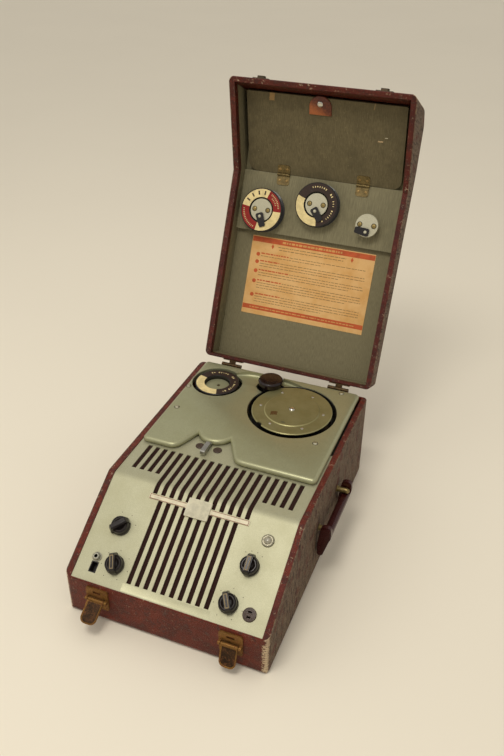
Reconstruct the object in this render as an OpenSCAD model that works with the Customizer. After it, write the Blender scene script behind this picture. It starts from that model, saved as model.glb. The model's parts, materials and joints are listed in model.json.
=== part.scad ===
// Portable wire recorder with its hinged lid open.
// X runs to the right, Y to the back and Z up. The underside of the case is at Z 0 and its
// middle at the origin. Outlines that are drawn from the side are in (distance behind the
// front face, height), and the lid is drawn closed and then turned open about its hinge pins.

/* [Case] */
// Overall width of the case
case_w = 286; // [280:1:300]
// Overall length of the case
case_l = 435.4; // [430:0.2:450]
// Height of the front wall
front_h = 63.4; // [60:0.2:70]
// Height of the side rails round the deck
deck_h = 141.5; // [138:0.5:150]
// Distance from the front face to the bend in the side rails
slope_run = 129.4; // [126:0.2:136]
// Thickness of the front and side walls
wall = 9; // [8:0.5:10]
// Thickness of the rear wall
rear_wall = 5; // [4:0.5:6]
// Thickness of the bottom board
base_t = 9; // [6:0.5:12]
// Radius of the case's upright corners
corner_r = 9; // [4:0.5:12]
// Radius of the case's bottom edges
bottom_r = 7; // [3:0.5:10]
// Radius of the rails' and rims' edges
rim_r = 1.5; // [0.5:0.25:2]
// Width of the cleats that carry the panel and the mechanism plate
cleat_w = 8; // [6:0.5:10]
// Depth of those cleats
cleat_h = 10; // [8:0.5:14]

/* [Lid] */
// How far the lid stands open
lid_open = 114.34; // [100:0.5:118]
// Height of the closed lid above the rails
lid_h = 44; // [43:0.5:50]
// How far its top drops towards the front
lid_drop = 20; // [15:0.5:24]
// Length of that drop, ahead of which the top is chamfered
lid_drop_run = 124; // [110:1:130]
// Length of the chamfer at the front
lid_chamfer = 26; // [20:0.5:30]
// Height of the chamfer's lower end under the rails
lid_brow = 4; // [2:0.5:8]
// Thickness of the lid's top board
lid_top_t = 4.5; // [3.5:0.25:5]
// Thickness of the lid's front wall
lid_front_t = 7.5; // [6:0.25:8]
// Gap between the closed lid's rim and the case's rim
rim_gap = 0.4; // [0.3:0.05:0.6]
// Distance of the hinge pins behind the rear face
pin_back = 8.4; // [8:0.2:10]
// Height of the hinge pins under the rails
pin_drop = 1.3; // [1:0.1:2]
// Distance of each lid hinge from the side
hinge_side = 51; // [43:1:63]
// Width of a lid hinge
hinge_w = 34; // [28:1:40]
// Thickness of the hinge leaves
leaf_t = 1.6; // [1.2:0.1:2]
// Radius of the hinge knuckles
knuckle_r = 3.2; // [3:0.1:4]
// Radius of the hinge pins
pin_r = 1.5; // [1.2:0.1:2]

/* [Spool board and pocket door] */
// Length of the spool board
board_l = 96; // [90:1:98]
// Distance from the bend in the rim forward to the spool board
board_past = 6; // [5:0.5:8]
// Depth of the spool board's face behind the rim
board_d = 29.5; // [28:0.5:30]
// Thickness of the pocket door
door_t = 4; // [3:0.25:5]
// Gap on each side of the pocket door
door_side = 8; // [4:0.5:14]
// How far the door's face stands out from the board's, where they meet
door_step = 0.8; // [0.5:0.1:1.2]
// Radius of the door's lower corners
door_r = 14; // [8:1:20]
// Distance of each door hinge from the side
door_hinge_side = 77; // [60:1:95]
// Width of a door hinge
door_hinge_w = 21; // [16:1:26]
// Length of one leaf of a door hinge
door_leaf = 15; // [12:0.5:18]

/* [Control panel] */
// Thickness of the panel sheet
panel_t = 1.5; // [1.2:0.1:2]
// How far the panel lies under the rails
panel_drop = 1; // [0.5:0.1:2]
// Radius of the bend in the panel
bend_r = 20; // [14:1:26]
// Distance of the panel's rear edge from the rear face
panel_rear = 159.4; // [155:0.2:163]
// Distance from the panel's side to the grille
grille_side = 12.6; // [10:0.2:16]
// Width of a grille slot
slot_w = 6.5; // [5.5:0.1:7.5]
// Number of slots under the name bar
low_slots = 10; // [6:2:10]
// Number of long slots over the bend
long_slots = 12; // [8:2:12]
// Number of short slots on each side of those
short_slots = 4; // [2:1:4]
// Length of the name bar
bar_l = 144; // [130:1:150]
// Width of the name bar
bar_w = 7; // [5:0.5:9]
// Width of the plain plaque on the bar
plaque_w = 33; // [26:1:36]
// Length of that plaque
plaque_l = 25.5; // [20:0.5:28]

/* [Knobs] */
// Radius of a knob's skirt
knob_r = 12.7; // [11.5:0.1:14]
// Height of a knob
knob_h = 15.5; // [13:0.5:16]
// Radius of the knob shafts
knob_shaft_r = 3; // [2.5:0.1:3.5]
// Radius of the control bodies behind the panel
control_r = 11.5; // [10:0.5:12]

/* [Deck] */
// Gap on each side of the deck cover
cover_side_gap = 2.5; // [2:0.25:5]
// Length of the deck cover
cover_l = 226; // [222:0.5:227]
// Height of the cover above the rails
cover_h = 8; // [7:0.25:9]
// Thickness of the cover
cover_t = 2; // [1.5:0.1:2.5]
// Radius of the cover's rounded edges
cover_r = 6; // [4:0.25:7]
// Height of the mechanism plate's top under the rails
plate_drop = 21.5; // [20:0.5:26]
// Thickness of the mechanism plate
plate_t = 2.5; // [2:0.1:3]
// Depth of the wire trough behind the spools
trough_h = 7; // [5:0.5:8]

/* [Spools] */
// Radius of a wire spool
spool_r = 35; // [33:0.5:37]
// Thickness of a wire spool
spool_t = 17.5; // [16:0.25:18]
// Radius of a wire spool's hole
spool_bore = 20; // [19:0.25:21]
// Radius of the well round the supply spool
well_r = 40; // [39:0.5:42]
// How far the supply spool's top lies under the cover's top
supply_sink = 0.3; // [0.2:0.1:3]
// Radius of the take-up drum's top disc
disc_r = 61.1; // [58:0.1:62]
// Radius of the opening round that disc
disc_hole_r = 67.9; // [66:0.1:69]
// Radius of the raised middle of the disc
disc_step_r = 41; // [38:0.5:43]
// Radius of the deck's shafts
shaft_r = 4; // [3:0.25:5]

/* [Drive] */
// Radius of the drive disc under the plate
drive_r = 48; // [46:0.5:50]
// Radius of the idler wheel
idler_r = 16; // [14:0.5:17]
// Radius of the motor pulley
pulley_r = 5; // [4:0.25:6]
// Radius of the motor
motor_r = 36; // [34:0.5:37]
// Height of the motor
motor_h = 62; // [55:1:66]

/* [Handle and latches] */
// Length of the handle between its ears
grip_l = 96; // [88:1:102]
// Thickness of the grip
grip_t = 13; // [11:0.5:14]
// Height of the grip
grip_h = 11; // [9:0.5:11.5]
// Thickness of an ear
ear_t = 8; // [6:0.2:9]
// Distance from the handle's pivots down to the middle of the grip
handle_arm = 11.2; // [11:0.1:13]
// Distance of the handle's pivots from the case
handle_out = 14; // [13.9:0.1:16]
// Height of the handle's pivots
handle_z = 80; // [76:0.5:86]
// Distance of the handle's middle from the rear face
handle_rear = 197.9; // [190:0.2:206]
// Radius of the handle's posts
post_r = 4; // [3.5:0.1:4.2]
// Distance of each latch from the side
latch_side = 49; // [43:1:58]
// Width of a latch plate
latch_w = 32; // [28:1:34]
// Length of a latch lever
latch_l = 31; // [26:1:34]
// Angle of the left lever out from the wall
latch_left = 60; // [20:1:70]
// Angle of the right lever out from the wall
latch_right = 18; // [10:1:60]

/* [Fits] */
// Clearance of a shaft in its bearing
running = 0.05; // [0.02:0.01:0.1]
// Clearance between faces that move past each other
clear = 0.4; // [0.3:0.05:0.6]

/* [Hidden] */
$fn = 48;

cut = 1;                                    // how far a cut runs past the face that it opens
slope_a = atan2(deck_h - front_h, slope_run);
slope_len = norm([slope_run, deck_h - front_h]);
inner_w = case_w - 2 * wall;
panel_w = inner_w - 2 * clear;
panel_under = panel_drop + panel_t;
panel_end = case_l - panel_rear;
slot_pitch = (panel_w - 2 * grille_side) / (long_slots + 2 * short_slots);
cover_w = inner_w - 2 * cover_side_gap;
cover_top = deck_h + cover_h;
cover_end = case_l - rear_wall - clear;
cover_front = cover_end - cover_l;
plate_top = deck_h - plate_drop;
pin_y = case_l + pin_back;
pin_z = deck_h - pin_drop;
lining_d = lid_h - lid_top_t;
hinge_x = case_w / 2 - hinge_side;
latch_x = case_w / 2 - latch_side;
handle_y = case_l - handle_rear;

// Places on the control panel, as (across, up the slope)
panel_front = 2;
panel_side = panel_w / 2;
function_at = [40.1 - panel_side, 82];
volume_at = [52.6 - panel_side, 32];
selector_at = [panel_side - 43.1, 80.5];
tone_at = [panel_side - 53.6, 29];
lamp_at = [panel_side - 31.3, 117.8];
output_at = [panel_side - 24.1, 24];
connector_at = [24.6 - panel_side, 35];
input_at = connector_at + [0.4, -13.5];
low_slot_s = [14.5, slope_len - 22.3];
bar_s = slope_len - 18.8;
plaque_s = bar_s - 0.8;
long_slot_s = bar_s + 4.5;
slot_end = cover_front - 3;
short_slot_y = slope_run + 18.6;
strip = [low_slots * slot_pitch + 3, 11];   // the embossed strip under the slots
strip_s = 8.5;

// Places on the deck, as (across, behind the front face)
supply_at = [-(cover_w / 2 - well_r - 3.2), case_l - 59.2];
takeup_at = [47.8, case_l - 89.2];
head_at = takeup_at + [-53.8, 51.8];
lever_at = [-37, cover_front + 58];
bumper_at = [lever_at + [-12.4, -36.3], lever_at + [15, -36.3]];
screw_side = cover_w / 2 - 6.1;
screw_at = [[-screw_side + 8.2, cover_front + 85.6], [-screw_side, case_l - 86.9],
            [screw_side - 20.4, cover_front + 79.6], [screw_side - 21.1, case_l - 15.4]];
idler_away = 215;                           // direction of the idler from the take-up shaft
pulley_away = 195;                          // direction of the motor pulley from the idler

// Places in the lid, as (across, along from the rear rim)
board_s = case_l - slope_run + board_past - board_l;
clip_at = [[44.5 - inner_w / 2, board_s + 34], [0.5, board_s + 55], [inner_w / 2 - 47.6, board_s + 35]];
cam_turn = [23.5, 38.6, -96.7];             // how each cam is turned from pointing down
sheet_s = [board_s - 137, board_s - 7];
sheet_w = 210;

// ---------------------------------------------------------------- outlines

function unit(v) = v / norm(v);
function left_of(v) = [-v[1], v[0]];
function turned(v, a) = [v[0] * cos(a) - v[1] * sin(a), v[0] * sin(a) + v[1] * cos(a)];
function polar(r, a) = [r * cos(a), r * sin(a)];
function each_of(d, i) = is_list(d) ? d[i] : d;

// The point where a line through p along u meets one through q along v
function crossing(p, u, q, v) = p + u * cross(q - p, v) / cross(u, v);

// An anticlockwise outline with each edge moved inwards by its own distance
function inset(pts, d) = let (n = len(pts)) [
    for (i = [0:n - 1])
        let (
            a = pts[(i + n - 1) % n],
            b = pts[i],
            u = unit(b - a),
            v = unit(pts[(i + 1) % n] - b)
        )
        crossing(b + left_of(u) * each_of(d, (i + n - 1) % n), u, b + left_of(v) * each_of(d, i), v)
];

// An outline with each corner rounded to its own radius
function rounded(pts, r, steps = 6) = let (n = len(pts)) [
    for (i = [0:n - 1])
        let (
            b = pts[i],
            u = unit(pts[(i + n - 1) % n] - b),
            v = unit(pts[(i + 1) % n] - b),
            half = acos(u * v) / 2,
            ri = each_of(r, i),
            middle = b + unit(u + v) * ri / sin(half),
            start = b + u * ri / tan(half) - middle,
            turn = (180 - 2 * half) * sign(cross(v, u))
        )
        each ri == 0 ? [b] : [for (k = [0:steps]) middle + turned(start, turn * k / steps)]
];

function box_outline(w, l, r = 0) =
    rounded([[-w / 2, -l / 2], [w / 2, -l / 2], [w / 2, l / 2], [-w / 2, l / 2]], r);

// ---------------------------------------------------------------- placing

module across(w) {
    translate([-w / 2, 0, 0]) rotate([90, 0, 90]) linear_extrude(w) children();
}

module along(l) {
    translate([0, l, 0]) rotate([90, 0, 0]) linear_extrude(l) children();
}

module in_case() {
    translate([0, -case_l / 2, 0]) children();
}

module on_slope(at, h = 0) {
    translate([at[0], at[1] * cos(slope_a) - h * sin(slope_a),
               front_h + at[1] * sin(slope_a) + h * cos(slope_a)])
        rotate([slope_a, 0, 0]) children();
}

module on_panel(at, h = 0) {
    on_slope(at, h - panel_drop) children();
}

module in_lid() {
    in_case() translate([0, pin_y, pin_z]) rotate([-lid_open, 0, 0]) translate([0, -pin_y, -pin_z])
        children();
}

// On the lid's inside, d behind its rim, with Z towards someone who looks into the lid
module inside_lid(at, d) {
    in_lid() translate([at[0], case_l - at[1], deck_h + rim_gap + d]) rotate([180, 0, 0]) children();
}

// ---------------------------------------------------------------- case

case_side = [[0, 0], [case_l, 0], [case_l, deck_h], [slope_run, deck_h], [0, front_h]];

// The rails' outline, sunk by a depth, with the bend rounded about one centre
function deck_outline(d) =
    rounded(inset(case_side, [-cut, -cut, d, d, -cut]), [0, 0, 0, bend_r - d, 0], 8);

// A sheet that follows the slope, the bend and the flat between two depths
module deck_layer(top, bottom, y0, y1, w) {
    across(w) intersection() {
        difference() {
            polygon(deck_outline(top));
            polygon(deck_outline(bottom));
        }
        translate([y0, base_t]) square([y1 - y0, deck_h]);
    }
}

module case_plan(height) {
    translate([0, case_l / 2, 0]) linear_extrude(height)
        polygon(box_outline(case_w, case_l, corner_r));
}

module case_block() {
    intersection() {
        across(case_w) polygon(rounded(case_side, [bottom_r, bottom_r, rim_r, 3, rim_r]));
        case_plan(deck_h);
        along(case_l) polygon(rounded(
            [[-case_w / 2, 0], [case_w / 2, 0], [case_w / 2, deck_h], [-case_w / 2, deck_h]],
            [bottom_r, bottom_r, 0, 0]));
    }
}

module cleats() {
    cleat_start = panel_end - clear;
    for (side = [-1, 1])
        translate([side * (inner_w - cleat_w) / 2, 0, 0]) {
            deck_layer(panel_under, panel_under + cleat_h, wall - 0.5, cleat_start, cleat_w);
            translate([-cleat_w / 2, lever_at[1] - 20, plate_top - plate_t - cleat_h])
                cube([cleat_w, case_l - rear_wall - lever_at[1] + 20, cleat_h]);
        }
}

module case_shell() {
    in_case() color("#5a2a26") {
        difference() {
            case_block();
            across(inner_w) polygon(inset(case_side, [base_t, rear_wall, -cut, -cut, wall]));
            across(inner_w) difference() {
                translate([panel_front - clear, base_t]) square([wall + clear, front_h]);
                polygon(deck_outline(panel_under));
            }
        }
        intersection() {
            cleats();
            across(inner_w) polygon(inset(case_side, [base_t, rear_wall, 0, 0, wall]));
        }
    }
}

// ---------------------------------------------------------------- control panel

module slots(count, pitch_from = 0) {
    for (i = [0:count - 1])
        translate([(pitch_from + i - (count - 1) / 2) * slot_pitch - slot_w / 2, 0, 0]) children();
}

module grille_cuts() {
    deep = 4 * panel_t;
    on_panel([0, low_slot_s[0]], -deep / 2) slots(low_slots)
        cube([slot_w, low_slot_s[1] - low_slot_s[0], deep]);
    on_panel([0, long_slot_s], -deep / 2) slots(long_slots)
        cube([slot_w, slope_len - long_slot_s, deep]);
    translate([0, slope_run - 1, deck_h - panel_drop - deep / 2]) slots(long_slots)
        cube([slot_w, slot_end - slope_run + 1, deep]);
    side_from = (long_slots + short_slots) / 2;
    translate([0, short_slot_y, deck_h - panel_drop - deep / 2]) for (side = [-1, 1])
        slots(short_slots, side * side_from) cube([slot_w, slot_end - short_slot_y, deep]);
}

module panel_hole(at, r) {
    on_panel(at, -3 * panel_t) cylinder(r = r, h = 4 * panel_t);
}

module control_panel() {
    in_case() color("#a9a78f") difference() {
        deck_layer(panel_drop, panel_under, panel_front, panel_end, panel_w);
        grille_cuts();
        for (at = [function_at, volume_at, selector_at, tone_at]) panel_hole(at, bush_r + running);
        panel_hole(lamp_at, lamp_r + running);
        panel_hole(output_at, output_r + running);
        panel_hole(connector_at, connector_r + running);
        on_panel(input_at, -2 * panel_t) linear_extrude(3 * panel_t)
            polygon(box_outline(input_size[0], input_size[1]));
        for (at = bumper_at) translate([at[0], at[1], deck_h - 5]) cylinder(r = bumper_r, h = 6);
        translate([lever_at[0], lever_at[1], deck_h - 5]) cylinder(r = lever_pin_r + running, h = 6);
        on_panel([0, strip_s], -0.4) linear_extrude(cut) polygon(box_outline(strip[0], strip[1], 1));
    }
}

module grille_cloth() {
    cloth_t = 1;
    narrow = low_slots * slot_pitch + 3;
    wide = (long_slots + 2 * short_slots) * slot_pitch;
    in_case() color("#4a3226") {
        deck_layer(panel_under, panel_under + cloth_t, wall + 1, slot_end + 4, narrow);
        deck_layer(panel_under, panel_under + cloth_t, slope_run - 14, slot_end + 4, narrow + 2 * slot_pitch);
        deck_layer(panel_under, panel_under + cloth_t, short_slot_y - 6, slot_end + 4, wide);
    }
}

module name_bar() {
    in_case() color("#d9cfae") {
        on_panel([0, bar_s]) difference() {
            linear_extrude(1.2) polygon(box_outline(bar_l, bar_w, 0.8));
            translate([-plaque_w / 2, -plaque_l / 2, -cut]) cube([plaque_w, plaque_l, 4]);
        }
        on_panel([0, plaque_s]) {
            linear_extrude(1.8) polygon(box_outline(plaque_w, plaque_l, 1));
            translate([0, 0, 1.8]) linear_extrude(0.8)
                polygon(box_outline(plaque_w - 5, plaque_l - 5, 1));
        }
    }
}

lamp_r = 6;
bezel_r = 8.6;

module pilot_bezel() {
    in_case() color("#c8c8c0") on_panel(lamp_at) rotate_extrude()
        polygon([[4.6, -14], [lamp_r, -14], [lamp_r, 0], [bezel_r, 0], [bezel_r - 0.6, 1.6],
                 [bezel_r - 2, 2.2], [5.4, 2.2], [5.4, 0.6], [4.6, 0.6]]);
}

module pilot_jewel() {
    in_case() color("#e6e2d0") on_panel(lamp_at, 0.6) {
        cylinder(r = 5.3, h = 1.6);
        translate([0, 0, 1.6]) intersection() {
            translate([0, 0, -3]) sphere(r = 6.1);
            cylinder(r = 5.3, h = 5);
        }
        translate([0, 0, -10]) cylinder(r = 4.2, h = 10);
    }
}

connector_r = 4.8;
input_size = [10.6, 14.8];
input_wall = 1.3;
output_r = 8.2;

module input_connector() {
    in_case() color("#bdbdb8") on_panel(connector_at) rotate_extrude()
        polygon([[2.4, -8], [connector_r, -8], [connector_r, 0], [6.4, 0], [6.4, 1.2],
                 [5.2, 1.8], [4.8, 4.6], [3.6, 5.6], [2.4, 5.6]]);
}

module input_socket() {
    depth = 12;
    in_case() color("#1b1715") on_panel(input_at, -depth) difference() {
        linear_extrude(depth - running) polygon(
            box_outline(input_size[0] - 2 * running, input_size[1] - 2 * running, 0.5));
        translate([0, 0, input_wall]) linear_extrude(depth) polygon(
            box_outline(input_size[0] - 2 * input_wall, input_size[1] - 2 * input_wall, 0.5));
    }
}

module output_socket() {
    slot = [5, 2.2];
    in_case() color("#3a2018") on_panel(output_at) difference() {
        union() {
            translate([0, 0, -12]) cylinder(r = output_r, h = 12);
            rotate_extrude() polygon([[0, 0], [8.9, 0], [8.9, 1], [8.3, 1.8], [0, 1.8]]);
        }
        for (side = [-1, 1]) translate([-slot[0] / 2, side * 3.2 - slot[1] / 2, -6])
            cube([slot[0], slot[1], 10]);
    }
}

bush_r = 4.8;

module control_bodies() {
    in_case() color("#8c8676") for (at = [function_at, volume_at, selector_at, tone_at])
        on_panel(at, -panel_t) difference() {
            union() {
                cylinder(r = bush_r, h = panel_t);
                translate([0, 0, -13]) cylinder(r = control_r, h = 13);
                translate([-3, -control_r - 5, -10]) cube([6, 8, 1.5]);
            }
            translate([0, 0, -9]) cylinder(r = knob_shaft_r + running, h = 12);
        }
}

// A pointer knob: a dished skirt and a grip bar across it with a nose, on its shaft
module pointer_knob(at, turn) {
    rim_h = 0.6 * knob_h;
    bar_t = [7.4, 5.6];
    side = [[-knob_r - 0.4, 0.6], [knob_r + 2, 0.6], [knob_r + 2, rim_h - 3], [knob_r - 1.8, knob_h],
            [2.2 - knob_r, knob_h], [-knob_r - 0.4, rim_h - 2]];
    in_case() color("#231c1a") on_panel(at, clear) rotate([0, 0, turn]) {
        rotate_extrude() polygon([[0, 0], [knob_r, 0], [knob_r, 3], [knob_r - 0.8, 4.2],
                                  [knob_r - 1.2, rim_h - 0.6], [knob_r - 2, rim_h],
                                  [knob_r - 3.2, rim_h - 0.8], [5, rim_h - 3.4], [0, rim_h - 3.6]]);
        for (k = [0, 1]) translate([-bar_t[k] / 2, 0, 0]) rotate([90, 0, 90]) linear_extrude(bar_t[k])
            polygon(rounded(inset(side, [0, 0, 0, 1.4 * (1 - k), 0, 0]), [0, 0, 2, 2, 2, 2], 4));
        translate([0, 0, -panel_t - 8]) cylinder(r = knob_shaft_r, h = panel_t + 8.5);
    }
}

module function_knob() { pointer_knob(function_at, 135); }
module volume_knob() { pointer_knob(volume_at, 22); }
module selector_knob() { pointer_knob(selector_at, 2); }
module tone_knob() { pointer_knob(tone_at, 28); }

// ---------------------------------------------------------------- deck cover

lever_reach = 29;                           // radius of the bulge round the lever's pivot
lever_pin_r = 3;
bumper_r = 5.6;
head_hole_r = 22.5;
notch_l = -73.7;
notch_r = 13.5;

module cover_outline() {
    half = cover_w / 2;
    difference() {
        translate([0, (cover_front + cover_end) / 2])
            polygon(box_outline(cover_w, cover_end - cover_front, 6));
        polygon(concat(
            [[notch_l - 4, cover_front - cut], [notch_l, cover_front + 1.5]],
            [for (k = [0:10]) lever_at + polar(lever_reach, 227 + k * 10.5)],
            [[notch_r, cover_front + 1.5], [notch_r + 4, cover_front - cut]]));
    }
}

// The cover's side outline: shallow over the panel and deep over the mechanism plate
function cover_side(d) =
    rounded(inset([[cover_front, deck_h], [panel_end + clear, deck_h], [panel_end + clear, plate_top],
                   [cover_end, plate_top], [cover_end, cover_top], [cover_front, cover_top]],
                  [-d, -d, -d, d, d, d]),
            [0, 0, 0, 0, cover_r - d, cover_r - d]);

module cover_block(d) {
    intersection() {
        across(cover_w) polygon(cover_side(d));
        along(case_l) polygon(rounded(
            [[-cover_w / 2 + d, 0], [cover_w / 2 - d, 0], [cover_w / 2 - d, cover_top - d],
             [-cover_w / 2 + d, cover_top - d]], [0, 0, cover_r - d, cover_r - d]));
    }
}

// The wire trough: a channel that deepens to the back, between the two openings
trough_back = cover_end - 6;
trough_front = head_at[1] - 12;
trough = [[supply_at[0] + 22, trough_front], [takeup_at[0] - 10, trough_front],
          [takeup_at[0] + 8, trough_back - 19], [takeup_at[0] - 8, trough_back - 8],
          [head_at[0] + 20, trough_back], [supply_at[0] + 44, trough_back],
          [supply_at[0] + 26, trough_back - 7], [supply_at[0] + 14, trough_back - 16]];

module trough_cut(grow, drop) {
    intersection() {
        linear_extrude(2 * cover_top) polygon(inset(trough, -grow));
        across(cover_w) polygon([[trough_front - 6, cover_top - drop],
                                 [trough_back, cover_top - trough_h - drop],
                                 [case_l, cover_top - trough_h - drop], [case_l, cover_top + 5],
                                 [trough_front - 6, cover_top + 5]]);
    }
}

module deck_holes(grow = 0) {
    translate([supply_at[0], supply_at[1], 0]) cylinder(r = well_r - grow, h = 2 * cover_top, $fn = 72);
    translate([takeup_at[0], takeup_at[1], 0])
        cylinder(r = disc_hole_r - grow, h = 2 * cover_top, $fn = 96);
    translate([head_at[0], head_at[1], 0]) cylinder(r = head_hole_r - grow, h = 2 * cover_top);
}

module deck_cover() {
    in_case() color("#8f8f78") difference() {
        union() {
            difference() {
                intersection() {
                    linear_extrude(2 * cover_top) cover_outline();
                    cover_block(0);
                }
                difference() {
                    cover_block(cover_t);
                    notch_wall();
                }
            }
            intersection() {
                trough_cut(cover_t, cover_t);
                cover_block(cover_t / 2);
            }
        }
        trough_cut(0, 0);
        deck_holes();
        lever_slot();
        for (at = screw_at) translate([at[0], at[1], cover_top - cover_t - cut])
            cylinder(r = 1.9, h = cover_t + 2 * cut);
    }
}

// The wall that closes the cover round the notch, inside the outline
module notch_wall() {
    difference() {
        translate([notch_l - 12, cover_front - cut, deck_h])
            cube([notch_r - notch_l + 24, lever_at[1] - cover_front - 12, cover_h]);
        translate([0, cover_t, 0]) linear_extrude(2 * cover_top) cover_outline();
    }
}

// The opening under the bulge that the lever comes out of
module lever_slot() {
    translate([lever_at[0], lever_at[1], deck_h - cut]) intersection() {
        cylinder(r = lever_reach + 6, h = cover_h - cover_t + cut - clear);
        translate([-20, -lever_reach - 8, 0]) cube([40, lever_reach + 8, cover_h]);
    }
}

// Slotted screws, each on the pillar that it screws into
module deck_screws() {
    pillar_top = cover_top - cover_r;
    in_case() color("#b9b4a0") for (at = screw_at) translate([at[0], at[1], 0]) difference() {
        union() {
            translate([0, 0, cover_top]) rotate_extrude()
                polygon([[0, 0], [3.4, 0], [2.8, 1.1], [1.6, 1.6], [0, 1.7]]);
            translate([0, 0, pillar_top - 1]) cylinder(r = 1.8, h = cover_r + 1.1);
            translate([0, 0, plate_top]) cylinder(r = 3.8, h = pillar_top - plate_top);
        }
        translate([-4, -0.4, cover_top + 1]) cube([8, 0.8, 2]);
    }
}

module lever_bumpers() {
    in_case() color("#2c1c16") for (at = bumper_at) translate([at[0], at[1], deck_h - panel_drop])
        rotate_extrude() polygon([[0, -3], [bumper_r - running, -3], [bumper_r - running, 0], [6.2, 0],
                                  [6.2, 1], [5.4, 1.6], [2, 1.6], [1.4, 0.9], [0, 0.9]]);
}

module control_lever() {
    arm_w = 7;
    arm_h = cover_h - cover_t - 2 * clear - panel_drop;
    in_case() color("#9a9a92") translate([lever_at[0], lever_at[1], deck_h - panel_drop + clear]) {
        cylinder(r = 7, h = arm_h);
        translate([-arm_w / 2, -lever_reach - 4, 2]) cube([arm_w, lever_reach + 4, arm_h - 2]);
        translate([-arm_w / 2, 0, 0]) rotate([90, 0, 90]) linear_extrude(arm_w) polygon(rounded(
            [[-56, 1.6], [-51, 1.6], [-49, 3.4], [-lever_reach - 3, 3.4], [-lever_reach - 3, 8.6],
             [-56, 8.6]], [0.5, 0, 0, 0, 1, 2], 3));
        stem = deck_h - panel_drop - plate_top;
        translate([0, 0, -stem]) cylinder(r = lever_pin_r, h = stem + 1);
    }
}

// ---------------------------------------------------------------- mechanism

idler_at = takeup_at + polar(drive_r + idler_r + running, idler_away);
pulley_at = idler_at + polar(idler_r + pulley_r + running, pulley_away);
drive_z = plate_top - plate_t - 22;         // underside of the drive disc
drive_t = 6;

module plate_hole(at, r) {
    translate([at[0], at[1], plate_top - plate_t - cut]) cylinder(r = r, h = plate_t + 2 * cut);
}

module mechanism_plate() {
    front = lever_at[1] - 18;
    in_case() color("#77776d") {
        difference() {
            translate([-panel_w / 2, front, plate_top - plate_t])
                cube([panel_w, cover_end - front, plate_t]);
            for (at = [supply_at, takeup_at]) plate_hole(at, shaft_r + running);
            plate_hole(head_at, head_post_r + running);
            plate_hole(pulley_at, pulley_r + 3);
        }
        translate([idler_at[0], idler_at[1], drive_z - 3])
            cylinder(r = 3, h = plate_top - plate_t - drive_z + 3);
    }
}

module takeup_shaft() {
    in_case() color("#c2c2ba") translate([takeup_at[0], takeup_at[1], 0]) {
        translate([0, 0, drive_z - 6]) cylinder(r = shaft_r, h = cover_top - drive_z + 4);
        translate([0, 0, drive_z]) rotate_extrude($fn = 96) polygon(
            [[shaft_r - 0.5, -3], [10, -3], [10, 0], [drive_r - 5, 1.5], [drive_r - 5, 0],
             [drive_r, 0], [drive_r, drive_t], [drive_r - 5, drive_t], [drive_r - 5, 4],
             [10, 4], [10, drive_t + 2], [shaft_r - 0.5, drive_t + 2]]);
    }
}

disc_z = cover_top;                         // underside of the take-up disc

module takeup_drum() {
    in_case() color("#2b2a28") translate([takeup_at[0], takeup_at[1], 0])
        rotate_extrude($fn = 96) polygon(
            [[shaft_r + running, plate_top + 1], [12, plate_top + 1], [12, plate_top + 3],
             [disc_r - 1, plate_top + 5], [disc_r - 1, plate_top + 7], [46, plate_top + 9],
             [46, disc_z - 3], [disc_r - 2, disc_z - 1], [disc_r - 2, disc_z],
             [shaft_r + running, disc_z]]);
}

module takeup_disc() {
    in_case() color("#8a8a70") translate([takeup_at[0], takeup_at[1], disc_z]) difference() {
        rotate_extrude($fn = 96) polygon(
            [[0, 0], [disc_r, 0], [disc_r, 1], [disc_r - 1, 1.8], [disc_step_r + 1.2, 1.8],
             [disc_step_r, 2.7], [0, 2.7]]);
        translate([0, 0, -cut]) cylinder(r = 3, h = 5);
        rivet_places() translate([0, 0, -cut]) cylinder(r = 1.2, h = 5);
        rotate([0, 0, 236]) translate([disc_r + 1.5, 0, -cut]) cylinder(r = 5.5, h = 5);
    }
}

module rivet_places() {
    for (k = [0:5]) rotate([0, 0, 7 + 60 * k]) translate([48.2, 0, 0]) children();
}

module takeup_rivets() {
    in_case() color("#d0cfc8") translate([takeup_at[0], takeup_at[1], disc_z]) {
        rivet_places() {
            cylinder(r = 1.2, h = 1.8);
            translate([0, 0, 1.8]) rotate_extrude() polygon([[0, 0], [2.2, 0], [1.7, 1], [0, 1.4]]);
        }
        cylinder(r = 3, h = 2.7);
        translate([0, 0, 2.7]) rotate_extrude()
            polygon([[0, 0], [4.7, 0], [4.3, 1.4], [3, 2.3], [0, 2.7]]);
    }
}

module idler_wheel() {
    in_case() color("#2a2826") translate([idler_at[0], idler_at[1], drive_z]) rotate_extrude()
        polygon([[3 + running, -0.5], [7, -0.5], [7, 1.2], [idler_r - 3, 1.2], [idler_r - 3, 0],
                 [idler_r, 0], [idler_r, drive_t], [idler_r - 3, drive_t], [idler_r - 3, 4.8],
                 [7, 4.8], [7, drive_t + 0.5], [3 + running, drive_t + 0.5]]);
}

motor_top = drive_z - 6;

module motor_pulley() {
    in_case() color("#b49a55") translate([pulley_at[0], pulley_at[1], 0]) {
        translate([0, 0, motor_top - 10]) cylinder(r = 2.5, h = drive_z - motor_top + 10.5);
        translate([0, 0, drive_z - 1]) rotate_extrude()
            polygon([[0, 0], [pulley_r, 0], [pulley_r, drive_t + 2], [pulley_r - 1, drive_t + 3],
                     [0, drive_t + 3]]);
    }
}

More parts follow.
